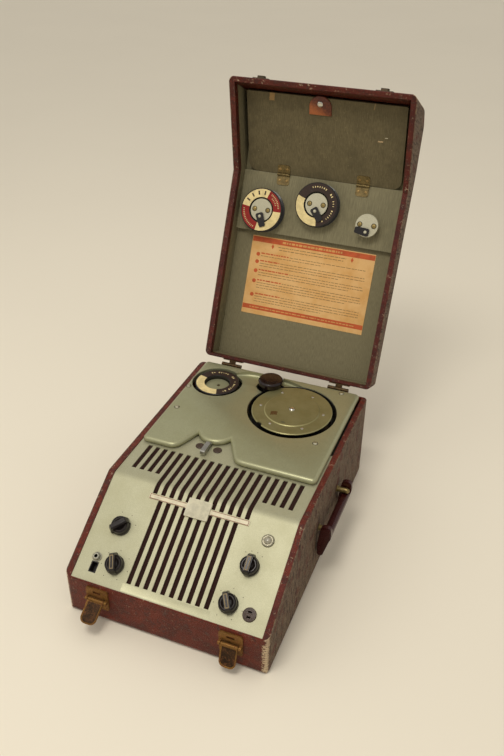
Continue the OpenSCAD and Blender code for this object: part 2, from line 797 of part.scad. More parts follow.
module drive_motor() {
    post_r = motor_r - 4;
    in_case() color("#5c5c58") translate([pulley_at[0], pulley_at[1], motor_top - motor_h])
        difference() {
            union() {
                rotate_extrude() polygon(
                    [[0, 0], [motor_r - 6, 0], [motor_r, 5], [motor_r, 14], [motor_r - 2, 15],
                     [motor_r - 2, motor_h - 15], [motor_r, motor_h - 14], [motor_r, motor_h - 5],
                     [motor_r - 6, motor_h], [0, motor_h]]);
                for (a = [120, 210, 300]) rotate([0, 0, a]) translate([post_r, 0, motor_h - 4])
                    cylinder(r = 3, h = plate_top - plate_t - motor_top + 4);
            }
            translate([0, 0, motor_h - 12]) cylinder(r = 2.5 + running, h = 14);
        }
}

hub_r = spool_bore - 0.5;
supply_z = cover_top - supply_sink - spool_t; // underside of the supply spool
hub_top = supply_z + spool_t - 6.2;

module supply_turntable() {
    in_case() color("#8f8f78") translate([supply_at[0], supply_at[1], 0]) {
        rotate_extrude() polygon(
            [[0, plate_top + 0.6], [9, plate_top + 0.6], [9, supply_z - 3.4],
             [spool_r - 2, supply_z - 2.6], [spool_r - 2, supply_z - clear / 2],
             [hub_r, supply_z - clear / 2], [hub_r, hub_top - 1], [hub_r - 1.2, hub_top],
             [1.6, hub_top], [1.6, hub_top - 1], [0, hub_top - 1]]);
        translate([0, 0, plate_top - 24]) cylinder(r = shaft_r, h = 26);
        translate([0, 0, plate_top - plate_t - 8]) cylinder(r = shaft_r + 4, h = 7.6);
    }
}

// A spool with its flanges, filled with wire out to a radius
module wire_spool(core) {
    rotate_extrude($fn = 72) polygon(
        [[spool_bore, 0.6], [spool_bore + 0.6, 0], [spool_r - 0.8, 0], [spool_r, 0.8],
         [spool_r, 2], [core, 3.2], [core, spool_t - 3.2], [spool_r, spool_t - 2],
         [spool_r, spool_t - 0.8], [spool_r - 0.8, spool_t], [spool_bore + 2, spool_t],
         [spool_bore, spool_t - 1.2]]);
}

wire_r = 31;
core_r = 24;

module supply_spool() {
    in_case() color("#211d1b") translate([supply_at[0], supply_at[1], supply_z]) wire_spool(core_r);
}

module supply_wire() {
    in_case() color("#9b9b98") translate([supply_at[0], supply_at[1], supply_z]) rotate_extrude($fn = 72)
        polygon([[core_r + 0.02, 3.6], [wire_r, 3.6], [wire_r, spool_t - 3.6],
                 [core_r + 0.02, spool_t - 3.6]]);
}

head_post_r = 5;
head_z = plate_top + 8;
cap_z = cover_top + 3.6;

module head_post() {
    in_case() color("#b9b9b2") translate([head_at[0], head_at[1], 0]) {
        translate([0, 0, plate_top - 46]) cylinder(r = head_post_r, h = head_z - plate_top + 46);
        translate([0, 0, plate_top + 0.5]) cylinder(r = 8, h = head_z - plate_top - 0.5);
    }
}

module head_body() {
    in_case() color("#191716") translate([head_at[0], head_at[1], head_z]) difference() {
        linear_extrude(cap_z - head_z) polygon(box_outline(17, 18, 3));
        translate([-10, -1, cover_top - head_z - 6]) cube([20, 2, 1.6]);
        translate([-10, -12, cover_top - head_z - 6]) cube([20, 12, 0.8]);
    }
}

module head_cap() {
    cap_h = 11;
    cap_r = 19.5;
    in_case() color("#3d1614") translate([head_at[0], head_at[1], cap_z]) rotate_extrude() polygon(
        concat([[0, 0], [cap_r - 1, 0]],
               [for (k = [0:4]) [cap_r - 4 + 4 * cos(k * 17.5), cap_h - 5 + 4 * sin(k * 17.5)]],
               [[10, cap_h - 0.4], [0, cap_h]]));
}

// ---------------------------------------------------------------- amplifier and speaker

chassis_y = case_l - 289.4;
chassis_size = [226, 104, 38];

module amplifier_chassis() {
    sheet = 1.5;
    in_case() color("#7d7d74") translate([-chassis_size[0] / 2, chassis_y, base_t]) difference() {
        cube(chassis_size);
        translate([sheet, sheet, -cut])
            cube([chassis_size[0] - 2 * sheet, chassis_size[1] - 2 * sheet, chassis_size[2] - sheet + cut]);
    }
}

module power_transformer() {
    in_case() color("#3a3a38") translate([-78, chassis_y + 50, base_t + chassis_size[2]]) {
        translate([-28, -24, 0]) cube([56, 48, 12]);
        translate([-20, -32, 12]) cube([40, 64, 36]);
        translate([-28, -24, 12]) cube([56, 48, 34]);
    }
}

module vacuum_tubes() {
    in_case() color("#c9c6bc") for (i = [0:3])
        translate([-16 + 38 * i, chassis_y + 52, base_t + chassis_size[2]]) rotate_extrude() polygon(
            [[0, 0], [16, 0], [16, 6], [13.5, 7], [14.5, 20], [14.5, 46], [11, 56], [4, 60], [0, 60]]);
}

speaker_s = 72;
speaker_r = 61;
speaker_h = -(panel_t + 1 + 0.1);           // its rim touches the cloth

module speaker_frame() {
    in_case() color("#55534c") on_panel([0, speaker_s], speaker_h) rotate_extrude($fn = 72) polygon(
        [[speaker_r - 8, -2], [speaker_r - 8, 0], [speaker_r, 0], [speaker_r, -2],
         [speaker_r - 6, -2], [speaker_r - 8, -8], [26, -28], [26, -44], [0, -44],
         [0, -30], [22, -30], [22, -26.5], [speaker_r - 9.5, -7]]);
}

module speaker_cone() {
    in_case() color("#2e2a26") on_panel([0, speaker_s], speaker_h) rotate_extrude($fn = 72) polygon(
        [[speaker_r - 8.1, -1.8], [speaker_r - 8.1, -0.6], [speaker_r - 12, -0.6], [16, -20],
         [11, -16], [0, -14], [0, -15.2], [10, -17.2], [15, -29.9], [20, -29.9], [18, -23],
         [speaker_r - 12.4, -1.8]]);
}

// ---------------------------------------------------------------- handle and latches

ear_head = handle_out - 2;                  // how far an ear reaches above its pivot
ear_foot = 41;                              // and below it
handle_pin_r = 1.6;
post_gap = 0.5;                             // between a post and the ear beside it
handle_x = case_w / 2 + handle_out;
post_y = grip_l / 2 - post_gap - post_r;

module at_handle() {
    in_case() translate([handle_x, handle_y, handle_z]) children();
}

// A solid that starts some way from the middle, towards one end
module outwards(side, from, l) {
    translate([0, side > 0 ? from : -from - l, 0]) along(l) children();
}

// An ear seen along the handle: a leaf that leans out from the wall at its top
module ear_outline(d) {
    polygon(rounded(inset([[2.5 - handle_out, -ear_foot], [-4, -ear_foot], [7, -2], [5.8, ear_head],
                           [-8, ear_head], [1.5 - handle_out, -22]], d),
                    [4 - d, 4 - d, 20 - d, 5.5 - d, 5.5 - d, 20 - d]));
}

module handle_grip() {
    at_handle() color("#4d1518") {
        translate([-1.5, -grip_l / 2 - cut, -handle_arm]) along(grip_l + 2 * cut)
            polygon(box_outline(grip_t, grip_h, 4.5));
        for (side = [-1, 1]) difference() {
            union() {
                outwards(side, grip_l / 2, ear_t - 2) ear_outline(0);
                outwards(side, grip_l / 2 + ear_t - 2.5, 1.5) ear_outline(0.6);
                outwards(side, grip_l / 2 + ear_t - 1.5, 1.5) ear_outline(1.6);
            }
            outwards(side, grip_l / 2 - cut, ear_t - 2 + cut) circle(r = handle_pin_r + running);
        }
    }
}

module handle_posts() {
    at_handle() color("#8a6f3c") for (side = [-1, 1]) translate([0, side * post_y, 0]) {
        translate([-handle_out, 0, 0]) rotate([0, 90, 0]) cylinder(r = post_r + 1.5, h = 0.8);
        translate([-handle_out, 0, 0]) rotate([0, 90, 0]) cylinder(r = post_r, h = handle_out + 1);
        translate([1, 0, 0]) sphere(r = post_r);
        outwards(side, 0, post_r + post_gap + ear_t - 2.4) circle(r = handle_pin_r);
    }
}

latch_z = 41;                               // height of the levers' pins
latch_pin_y = -5.4;
latch_plate_t = 2.2;
barrel_r = 2.6;
latch_pin_r = 1.2;
lever_w = 23;

module latch_plates() {
    in_case() color("#7f6434") for (side = [-1, 1]) translate([side * latch_x, 0, 0]) {
        difference() {
            translate([0, 0, latch_z]) rotate([90, 0, 0]) linear_extrude(latch_plate_t)
                polygon(box_outline(latch_w, latch_l + 3, 3));
            translate([-5.5, -latch_plate_t - cut, latch_z + 8]) cube([11, latch_plate_t + 2 * cut, 4]);
        }
        for (end = [-1, 1]) translate([end * (latch_w / 2 - 2), 0, latch_z]) {
            translate([-1.6, latch_pin_y, -barrel_r]) cube([3.2, -latch_pin_y - latch_plate_t, 2 * barrel_r]);
            translate([-1.6, latch_pin_y, 0]) rotate([0, 90, 0]) cylinder(r = barrel_r, h = 3.2);
        }
        translate([-latch_w / 2 + 2, latch_pin_y, latch_z]) rotate([0, 90, 0])
            cylinder(r = latch_pin_r, h = latch_w - 4);
    }
}

module latch_lever(side, angle) {
    in_case() color("#8f7238") translate([side * latch_x, latch_pin_y, latch_z]) rotate([-angle, 0, 0])
        difference() {
            union() {
                translate([-lever_w / 2, 0, 0]) rotate([0, 90, 0]) cylinder(r = barrel_r, h = lever_w);
                translate([0, 1, 0]) rotate([90, 0, 0]) linear_extrude(2) polygon(rounded(
                    [[-lever_w / 2, 0], [-lever_w / 2 + 1, -latch_l], [lever_w / 2 - 1, -latch_l],
                     [lever_w / 2, 0]], [0, 8, 8, 0]));
                translate([0, -1, -latch_l / 2]) rotate([90, 0, 0]) linear_extrude(1.4)
                    polygon(box_outline(12, latch_l - 12, 4));
            }
            translate([-lever_w, 0, 0]) rotate([0, 90, 0])
                cylinder(r = latch_pin_r + running, h = 2 * lever_w);
        }
}

module latch_lever_left() { latch_lever(-1, latch_left); }
module latch_lever_right() { latch_lever(1, latch_right); }

// ---------------------------------------------------------------- lid

lid_rim = rim_gap;
lid_side = [
    [0, front_h], [slope_run, deck_h], [case_l, deck_h], [case_l, deck_h + lid_h],
    [lid_chamfer + lid_drop_run, deck_h + lid_h], [lid_chamfer, deck_h + lid_h - lid_drop],
    [0, deck_h - lid_brow]
];

module lid_cavity() {
    across(inner_w) polygon(inset(lid_side,
        [-cut, -cut, rear_wall, lid_top_t, lid_top_t, lid_top_t, lid_front_t]));
}

module lid_block() {
    top = deck_h + lid_h;
    intersection() {
        across(case_w) polygon(rounded(inset(lid_side, [lid_rim, lid_rim, 0, 0, 0, 0, 0]),
                                       [rim_r, 3, rim_r, 9, 30, 14, 12]));
        case_plan(top);
        along(case_l) polygon(rounded([[-case_w / 2, 0], [case_w / 2, 0], [case_w / 2, top],
                                       [-case_w / 2, top]], [0, 0, 9, 9]));
    }
}

module lid_shell() {
    in_lid() color("#5a2a26") difference() {
        lid_block();
        lid_cavity();
    }
}

module spool_board() {
    in_lid() color("#77705f") intersection() {
        lid_cavity();
        translate([-inner_w / 2, case_l - board_s - board_l, deck_h + rim_gap + board_d])
            cube([inner_w, board_l, lid_h]);
    }
}

module instruction_sheet() {
    sheet_t = 0.5;
    mid = (sheet_s[0] + sheet_s[1]) / 2;
    inside_lid([0, mid], lining_d - rim_gap) color("#c9a46a")
        linear_extrude(sheet_t) polygon(box_outline(sheet_w, sheet_s[1] - sheet_s[0]));
}

clip_r = 18.2;
clip_d = 12.4;                              // depth of a clip's face behind the rim
spool_gap = 0.3;                            // a stored spool's gap to the board
cam_pivot = -10.3;
cam_l = 17.5;
cam_t = 2.6;
cam_pin_r = 1.5;

module clip_posts() {
    for (i = [0:2]) inside_lid(clip_at[i], board_d) color("#c9c9c4") {
        height = board_d - clip_d;
        rotate_extrude() polygon([[0, 0], [14, 0], [14, height - 3], [clip_r, height - 2],
                                  [clip_r, height - 0.5], [clip_r - 0.5, height], [0, height]]);
        translate([0, cam_pivot, height]) {
            cylinder(r = cam_pin_r, h = clear + cam_t + 1);
            translate([0, 0, clear + cam_t + 0.2]) rotate_extrude()
                polygon([[0, 0], [2.6, 0], [2, 1], [0, 1.3]]);
        }
    }
}

module cam(i) {
    inside_lid(clip_at[i], clip_d) color("#1d1a19") translate([0, cam_pivot, clear / 2])
        rotate([0, 0, cam_turn[i]]) difference() {
            union() {
                cylinder(r = 4, h = 1);
                translate([0, 0, 0.8]) linear_extrude(cam_t - 0.6) polygon(rounded(
                    [[-6.5, 5.5], [-5, -cam_l], [5, -cam_l], [6.5, 5.5]], [3, 2.5, 2.5, 3], 4));
            }
            translate([0, 0, -cut]) cylinder(r = cam_pin_r + running, h = cam_t + 3);
        }
}

module cam_left() { cam(0); }
module cam_middle() { cam(1); }
module cam_right() { cam(2); }

module stored_spool(i) {
    inside_lid(clip_at[i], board_d) color("#211d1b") translate([0, 0, spool_gap])
        wire_spool(wire_r);
}

module stored_spool_left() { stored_spool(0); }
module stored_spool_middle() { stored_spool(1); }

module lid_keepers() {
    in_lid() color("#4a3c28") for (side = [-1, 1])
        translate([side * latch_x, 0, front_h + 5]) rotate([90, 0, 0]) {
            translate([0, 7, 0]) linear_extrude(1.5) polygon(box_outline(26, 14, 2));
            translate([0, 5.5, 1.5]) linear_extrude(3.5) polygon(box_outline(12, 8, 2));
        }
}

// The door lies parallel to the sloping rim; its hinge is where it meets the spool board
board_y = slope_run - board_past;
door_d = (deck_h + rim_gap + board_d - door_step - front_h) * cos(slope_a) - board_y * sin(slope_a);
door_end = (board_y + door_d * sin(slope_a)) / cos(slope_a);
door_top = (lid_front_t + 2 + (door_d + door_t) * sin(slope_a)) / cos(slope_a);
door_w = inner_w - 2 * door_side;
door_hinge_x = case_w / 2 - door_hinge_side;
door_pin_r = 1;
door_knuckle_r = 2;
door_leaf_t = 1.2;
door_pin_h = door_d - door_leaf_t - 1;

module in_door(s, h) {
    in_lid() on_slope([0, s], h) children();
}

module pocket_door() {
    in_door((door_end + door_top) / 2, door_d) color("#5e5a49") linear_extrude(door_t) polygon(rounded(
        [[-door_w / 2, (door_top - door_end) / 2], [door_w / 2, (door_top - door_end) / 2],
         [door_w / 2, (door_end - door_top) / 2 - clear],
         [-door_w / 2, (door_end - door_top) / 2 - clear]], [2, 2, door_r, door_r]));
}

module hinge_places(x) {
    for (side = [-1, 1]) translate([side * x, 0, 0]) children();
}

module door_hinge_moving() {
    in_door(door_end, door_d) color("#8b713c") hinge_places(door_hinge_x) difference() {
        union() {
            translate([0, -door_leaf / 2 - 1, -door_leaf_t]) linear_extrude(door_leaf_t)
                polygon(rounded([[-door_hinge_w / 2, -door_leaf / 2], [door_hinge_w / 2, -door_leaf / 2],
                                 [door_hinge_w / 2, door_leaf / 2], [-door_hinge_w / 2, door_leaf / 2]],
                                [4, 4, 0, 0]));
            translate([-door_hinge_w / 6 + clear, 0, door_pin_h - door_d]) {
                rotate([0, 90, 0]) cylinder(r = door_knuckle_r, h = door_hinge_w / 3 - 2 * clear);
                translate([0, -3, 0]) cube([door_hinge_w / 3 - 2 * clear, 3, door_leaf_t + 1]);
            }
        }
        for (end = [-1, 1]) translate([end * door_hinge_w / 3 - door_hinge_w / 6 - clear, -2.6, -6])
            cube([door_hinge_w / 3 + 2 * clear, 6, 7]);
        translate([-door_hinge_w, 0, door_pin_h - door_d]) rotate([0, 90, 0])
            cylinder(r = door_pin_r + running, h = 2 * door_hinge_w);
    }
}

module door_hinge_fixed() {
    color("#8b713c") {
        in_door(door_end, door_pin_h) hinge_places(door_hinge_x) {
            translate([-door_hinge_w / 2, 0, 0]) rotate([0, 90, 0]) cylinder(r = door_pin_r, h = door_hinge_w);
            for (end = [-1, 1]) translate([end * door_hinge_w / 3 - door_hinge_w / 6, 0, 0])
                rotate([0, 90, 0]) cylinder(r = door_knuckle_r, h = door_hinge_w / 3);
        }
        in_lid() translate([0, case_l - board_s - board_l, deck_h + rim_gap + board_d - door_leaf_t])
            hinge_places(door_hinge_x) {
                translate([0, 2.6 + door_leaf / 2, 0]) linear_extrude(door_leaf_t) polygon(rounded(
                    [[-door_hinge_w / 2, -door_leaf / 2], [door_hinge_w / 2, -door_leaf / 2],
                     [door_hinge_w / 2, door_leaf / 2], [-door_hinge_w / 2, door_leaf / 2]],
                    [0, 0, 4, 4]));
                for (end = [-1, 1]) translate([end * door_hinge_w / 3 - door_hinge_w / 6, 0.4, 0])
                    cube([door_hinge_w / 3, 3, door_leaf_t]);
            }
    }
}

tab_size = [30, 32, 2];
tab_x = -5;

module leather_tab() {
    in_door(door_top + tab_size[1] / 2 + 0.5, door_d - tab_size[2]) color("#7a3a22")
        translate([tab_x, 0, 0]) linear_extrude(tab_size[2]) polygon(rounded(
            [[-tab_size[0] / 2, -tab_size[1] / 2], [tab_size[0] / 2, -tab_size[1] / 2],
             [tab_size[0] / 2, tab_size[1] / 2], [-tab_size[0] / 2, tab_size[1] / 2]], [4, 4, 13, 13]));
}

module tab_snap() {
    in_door(door_top + tab_size[1] / 2 + 0.5, door_d - tab_size[2]) color("#c4c4bd")
        translate([tab_x, -1, 0]) rotate([180, 0, 0]) rotate_extrude()
            polygon([[0, 0], [5.6, 0], [5.2, 1.2], [3.6, 2], [0, 2.3]]);
}

// ---------------------------------------------------------------- lid hinges

hinge_leaf = 24;
knuckle_w = hinge_w / 3;

module case_hinge_leaves() {
    in_case() color("#8b713c") hinge_places(hinge_x) difference() {
        union() {
            translate([-hinge_w / 2, case_l, pin_z - knuckle_r - hinge_leaf])
                cube([hinge_w, leaf_t, hinge_leaf + leaf_t]);
            translate([-hinge_w / 2, case_l, pin_z - knuckle_r]) cube([hinge_w, pin_back, leaf_t]);
            for (end = [-1, 1]) translate([end * knuckle_w - knuckle_w / 2, pin_y, pin_z])
                rotate([0, 90, 0]) cylinder(r = knuckle_r, h = knuckle_w);
        }
        translate([-knuckle_w / 2 - clear / 2, pin_y - knuckle_r - clear, pin_z - knuckle_r - cut])
            cube([knuckle_w + clear, 3 * knuckle_r, 3 * knuckle_r]);
        translate([-hinge_w, pin_y, pin_z]) rotate([0, 90, 0])
            cylinder(r = pin_r + running, h = 2 * hinge_w);
    }
}

module lid_hinge_pins() {
    in_case() color("#6e5a34") hinge_places(hinge_x) translate([-hinge_w / 2, pin_y, pin_z])
        rotate([0, 90, 0]) cylinder(r = pin_r, h = hinge_w);
}

module lid_hinge_leaves() {
    arm_z = pin_z + knuckle_r - leaf_t;
    in_lid() color("#8b713c") hinge_places(hinge_x) difference() {
        union() {
            translate([-hinge_w / 2, case_l, arm_z]) cube([hinge_w, leaf_t, hinge_leaf]);
            translate([-knuckle_w / 2 + clear / 2, case_l, arm_z])
                cube([knuckle_w - clear, pin_back, leaf_t]);
            translate([-knuckle_w / 2 + clear / 2, pin_y, pin_z]) rotate([0, 90, 0])
                cylinder(r = knuckle_r, h = knuckle_w - clear);
        }
        translate([-hinge_w, pin_y, pin_z]) rotate([0, 90, 0])
            cylinder(r = pin_r + running, h = 2 * hinge_w);
    }
}

// ---------------------------------------------------------------- nodes

case_shell();
control_panel();
grille_cloth();
name_bar();
pilot_bezel();
pilot_jewel();
input_connector();
input_socket();
output_socket();
lever_bumpers();
deck_cover();
deck_screws();
mechanism_plate();
amplifier_chassis();
power_transformer();
vacuum_tubes();
speaker_frame();
speaker_cone();
control_bodies();
drive_motor();
handle_posts();
latch_plates();
case_hinge_leaves();
lid_hinge_pins();
handle_grip();
latch_lever_left();
latch_lever_right();
takeup_drum();
takeup_disc();
takeup_rivets();
takeup_shaft();
idler_wheel();
motor_pulley();
supply_turntable();
supply_spool();
supply_wire();
head_post();
head_body();
head_cap();
control_lever();
function_knob();
volume_knob();
selector_knob();
tone_knob();
lid_shell();
lid_hinge_leaves();
spool_board();
instruction_sheet();
clip_posts();
lid_keepers();
door_hinge_fixed();
pocket_door();
door_hinge_moving();
leather_tab();
tab_snap();
cam_left();
cam_middle();
cam_right();
stored_spool_left();
stored_spool_middle();
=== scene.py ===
"""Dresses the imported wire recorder: finishes for its solids, and the small pieces that they leave out."""
import json
import math
import random

import bmesh
import bpy
from bpy.props import FloatProperty, FloatVectorProperty, IntProperty, PointerProperty
from mathutils import Matrix, Vector


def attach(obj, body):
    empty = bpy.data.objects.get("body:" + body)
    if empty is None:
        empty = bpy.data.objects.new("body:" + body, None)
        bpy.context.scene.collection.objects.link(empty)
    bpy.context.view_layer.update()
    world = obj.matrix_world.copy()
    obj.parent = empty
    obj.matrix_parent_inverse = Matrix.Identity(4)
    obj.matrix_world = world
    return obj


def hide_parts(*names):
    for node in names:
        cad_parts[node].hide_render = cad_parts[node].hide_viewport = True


bl_info = {
    "name": "Wire Recorder",
    "version": (1, 0, 0),
    "blender": (4, 5, 0),
    "location": "View3D > Sidebar > Recorder",
    "description": "Finishes and small parts for a portable wire recorder in its case",
    "category": "Add Mesh",
}

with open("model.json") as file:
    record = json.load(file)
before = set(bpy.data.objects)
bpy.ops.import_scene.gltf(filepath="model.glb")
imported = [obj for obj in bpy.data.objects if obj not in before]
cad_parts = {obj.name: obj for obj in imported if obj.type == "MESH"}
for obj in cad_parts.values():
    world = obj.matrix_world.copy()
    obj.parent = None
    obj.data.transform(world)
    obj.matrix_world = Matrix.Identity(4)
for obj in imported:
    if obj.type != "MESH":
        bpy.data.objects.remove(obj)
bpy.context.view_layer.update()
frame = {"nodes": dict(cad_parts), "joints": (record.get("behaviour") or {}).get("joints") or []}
NODES = frame["nodes"]
JOINTS = {joint["name"]: joint for joint in frame["joints"]}

MM = 0.001
CASE_LENGTH = 0.4354
RAIL_HEIGHT = 0.1415
FRONT_HEIGHT = 0.0634
SLOPE_RUN = 0.1294
SLOPE = math.atan2(RAIL_HEIGHT - FRONT_HEIGHT, SLOPE_RUN)
LID_ANGLE = math.radians(114.34)
HINGE = Vector(JOINTS["lid_hinge"]["pos_m"])
LID_GAP = 0.0004

# Places in millimetres: on the deck as (x, y from the front), on the panel as (x, up the slope) and in the lid
# as (x, along from its rear rim).
SUPPLY_AT = (-88.3, 376.2)
TAKEUP_AT = (47.8, 346.2)
COVER_SCREWS = ((-117.2, 289.6), (-125.4, 348.5), (105, 283.6), (104.3, 420))
KNOB_PLACES = {"function_knob": (-93.5, 82), "volume_knob": (-81, 32), "selector_knob": (90.5, 80.5),
               "tone_knob": (80, 29)}
CLIP_PLACES = ((-89.5, 250), (0.5, 271), (86.4, 251))
DOT_RING = 19.5


def rgb(code):
    """A colour written as in a paint chart, such as 8a8a70, as the linear values that a shader takes."""
    parts = [int(code[i:i + 2], 16) / 255 for i in (0, 2, 4)]
    return tuple(c / 12.92 if c <= 0.04045 else ((c + 0.055) / 1.055) ** 2.4 for c in parts)


def shade(colour, factor):
    """A colour made lighter or darker by one factor, or by one for each channel."""
    factors = factor if isinstance(factor, tuple) else (factor,) * 3
    return tuple(min(1, c * f) for c, f in zip(colour, factors))


# ---------------------------------------------------------------- places

def from_front(x, y, z):
    """A place given in millimetres from the case's middle, its front face and its underside."""
    return Vector((x * MM, y * MM - CASE_LENGTH / 2, z * MM))


def deck_frame(x, y, z):
    """Shifts a flat piece to a place on the deck, in millimetres as for from_front."""
    return Matrix.Translation(from_front(x, y, z))


def slope_frame(x, s, height=0.0):
    """Turns a piece that was made flat so that it lies on the control panel, in millimetres."""
    lift = (height - 1) * MM
    place = Vector((x * MM, s * MM * math.cos(SLOPE) - lift * math.sin(SLOPE) - CASE_LENGTH / 2,
                    FRONT_HEIGHT + s * MM * math.sin(SLOPE) + lift * math.cos(SLOPE)))
    return Matrix.Translation(place) @ Matrix.Rotation(SLOPE, 4, "X")


def open_lid():
    """Takes a place in the shut lid to where it is with the lid open."""
    return Matrix.Translation(HINGE) @ Matrix.Rotation(-LID_ANGLE, 4, "X") @ Matrix.Translation(-HINGE)


def lid_frame(x, s, depth):
    """Turns a flat piece to face out of the open lid: s along from its rear rim, depth behind the rim."""
    place = Vector((x * MM, CASE_LENGTH / 2 - s * MM, RAIL_HEIGHT + LID_GAP + depth * MM))
    return open_lid() @ Matrix.Translation(place) @ Matrix.Rotation(math.pi, 4, "X")


def door_frame(x, s, height):
    """Turns a flat piece to lie on the pocket flap, which is parallel to the sloping rim."""
    place = Vector((x * MM, s * MM * math.cos(SLOPE) - height * MM * math.sin(SLOPE) - CASE_LENGTH / 2,
                    FRONT_HEIGHT + s * MM * math.sin(SLOPE) + height * MM * math.cos(SLOPE)))
    return open_lid() @ Matrix.Translation(place) @ Matrix.Rotation(SLOPE, 4, "X") @ \
        Matrix.Rotation(math.pi, 4, "X")


# ---------------------------------------------------------------- shader arithmetic

class Field:
    """A value that varies over a surface. Arithmetic on it adds Math nodes to its finish."""

    def __init__(self, finish, socket):
        self.finish = finish
        self.socket = socket

    def _math(self, operation, *values):
        return self.finish.node("ShaderNodeMath", {"operation": operation}, dict(enumerate(values)))

    def __add__(self, other):
        return self._math("ADD", self, other)

    def __sub__(self, other):
        return self._math("SUBTRACT", self, other)

    def __rsub__(self, other):
        return self._math("SUBTRACT", other, self)

    def __mul__(self, other):
        return self._math("MULTIPLY", self, other)

    def __truediv__(self, other):
        return self._math("DIVIDE", self, other)

    def __pow__(self, other):
        return self._math("POWER", self, other)

    def __abs__(self):
        return self._math("ABSOLUTE", self)

    def __mod__(self, other):
        return self._math("FLOORED_MODULO", self, other)

    def smaller(self, other):
        return self._math("MINIMUM", self, other)

    def larger(self, other):
        return self._math("MAXIMUM", self, other)

    __radd__ = __add__
    __rmul__ = __mul__

    def rise(self, low, high):
        """0 below low and 1 above high, with a soft step between."""
        return self.finish.node("ShaderNodeMapRange", {"interpolation_type": "SMOOTHSTEP"},
                                {"Value": self, "From Min": low, "From Max": high})

    def ramp(self, *stops):
        """A colour from (place, colour) stops."""
        return self.finish.ramp(self, stops)


class Finish:
    """One surface finish: a material with its shader, built up from fields."""

    def __init__(self, name, metallic=0.0, roughness=0.5, **constants):
        self.material = bpy.data.materials.new(name)
        self.material.use_nodes = True
        self.tree = self.material.node_tree
        self.shader = self.tree.nodes["Principled BSDF"]
        self.set("Metallic", metallic)
        self.set("Roughness", roughness)
        for socket, value in constants.items():
            self.set(socket.replace("_", " "), value)
        self.place = self.node("ShaderNodeTexCoord", {}, {}, out="Object")

    def set(self, socket, value):
        """Puts a constant or a varying value on one of the shader's sockets."""
        if isinstance(value, Field):
            self.tree.links.new(value.socket, self.shader.inputs[socket])
        elif isinstance(value, tuple) and len(value) == 3 and socket != "Normal":
            self.shader.inputs[socket].default_value = (*value, 1)
        else:
            self.shader.inputs[socket].default_value = value
        return self

    def node(self, kind, settings, values, out=0):
        """Adds a node: its settings first, then its sockets' values or links."""
        node = self.tree.nodes.new(kind)
        for key, value in settings.items():
            setattr(node, key, value)
        for key, value in values.items():
            if isinstance(value, Field):
                self.tree.links.new(value.socket, node.inputs[key])
            elif isinstance(value, tuple) and len(value) == 3 and len(
                    getattr(node.inputs[key], "default_value", ())) == 4:
                node.inputs[key].default_value = (*value, 1)
            else:
                node.inputs[key].default_value = value
        return Field(self, node.outputs[out])

    def axes(self, place=None):
        """The three coordinates of a place, each as a field."""
        node = self.node("ShaderNodeSeparateXYZ", {}, {0: place or self.place}).socket.node
        return [Field(self, output) for output in node.outputs]

    def moved(self, location=(0, 0, 0), rotation=(0, 0, 0), scale=(1, 1, 1)):
        """The place, scaled, turned and then shifted."""
        return self.node("ShaderNodeMapping", {}, {"Vector": self.place, "Location": location,
                                                   "Rotation": rotation, "Scale": scale})

    def through(self, matrix):
        """The place in the frame that a matrix puts pieces in: the matrix undone."""
        back = matrix.inverted()
        return self.moved(tuple(back.to_translation()), tuple(back.to_euler()))

    def noise(self, size, detail=3.0, rough=0.5, place=None, distortion=0.0, out=0):
        """Cloudy noise from 0 to 1, with features of a size in metres."""
        return self.node("ShaderNodeTexNoise", {}, {
            "Vector": place or self.place, "Scale": 1 / size, "Detail": detail, "Roughness": rough,
            "Distortion": distortion}, out)

    def cells(self, size, place=None, feature="F1", randomness=1.0):
        """Distance within scattered cells of a size in metres."""
        return self.node("ShaderNodeTexVoronoi", {"feature": feature}, {
            "Vector": place or self.place, "Scale": 1 / size, "Randomness": randomness})

    def streaks(self, size, stretch, place=None, detail=4.0):
        """Noise drawn out along some axes by the three numbers in stretch."""
        drawn = self.node("ShaderNodeVectorMath", {"operation": "MULTIPLY"},
                          {0: place or self.place, 1: tuple(1 / s for s in stretch)})
        return self.noise(size, detail, 0.6, drawn)

    def mix(self, amount, first, second):
        """One colour turning into another."""
        node = self.tree.nodes.new("ShaderNodeMix")
        node.data_type = "RGBA"
        for socket, value in ((node.inputs["Factor"], amount), (node.inputs[6], first),
                              (node.inputs[7], second)):
            if isinstance(value, Field):
                self.tree.links.new(value.socket, socket)
            else:
                socket.default_value = (*value, 1) if isinstance(value, tuple) else value
        return Field(self, node.outputs[2])

    def ramp(self, value, stops):
        """A colour ramp over a value."""
        node = self.tree.nodes.new("ShaderNodeValToRGB")
        while len(node.color_ramp.elements) < len(stops):
            node.color_ramp.elements.new(0.5)
        for element, (position, colour) in zip(node.color_ramp.elements, stops):
            element.position = position
            element.color = (*colour, 1)
        self.tree.links.new(value.socket, node.inputs[0])
        return Field(self, node.outputs[0])

    def bump(self, height, distance, strength=1.0):
        """Relief, with the distance in metres that a height of 1 stands for."""
        normal = self.node("ShaderNodeBump", {}, {"Height": height, "Distance": distance,
                                                  "Strength": strength})
        return self.set("Normal", normal)


# ---------------------------------------------------------------- pieces

def outline(bm, points, z=0.0):
    """One flat face round some points, which run anticlockwise."""
    return bm.faces.new([bm.verts.new((x, y, z)) for x, y in points])


def raise_face(bm, face, height):
    """Extrudes a face straight up and returns the new top face."""
    made = bmesh.ops.extrude_face_region(bm, geom=[face])
    moved = [item for item in made["geom"] if isinstance(item, bmesh.types.BMVert)]
    bmesh.ops.translate(bm, verts=moved, vec=(0, 0, height))
    bmesh.ops.recalc_face_normals(bm, faces=bm.faces)
    return [item for item in made["geom"] if isinstance(item, bmesh.types.BMFace)][0]


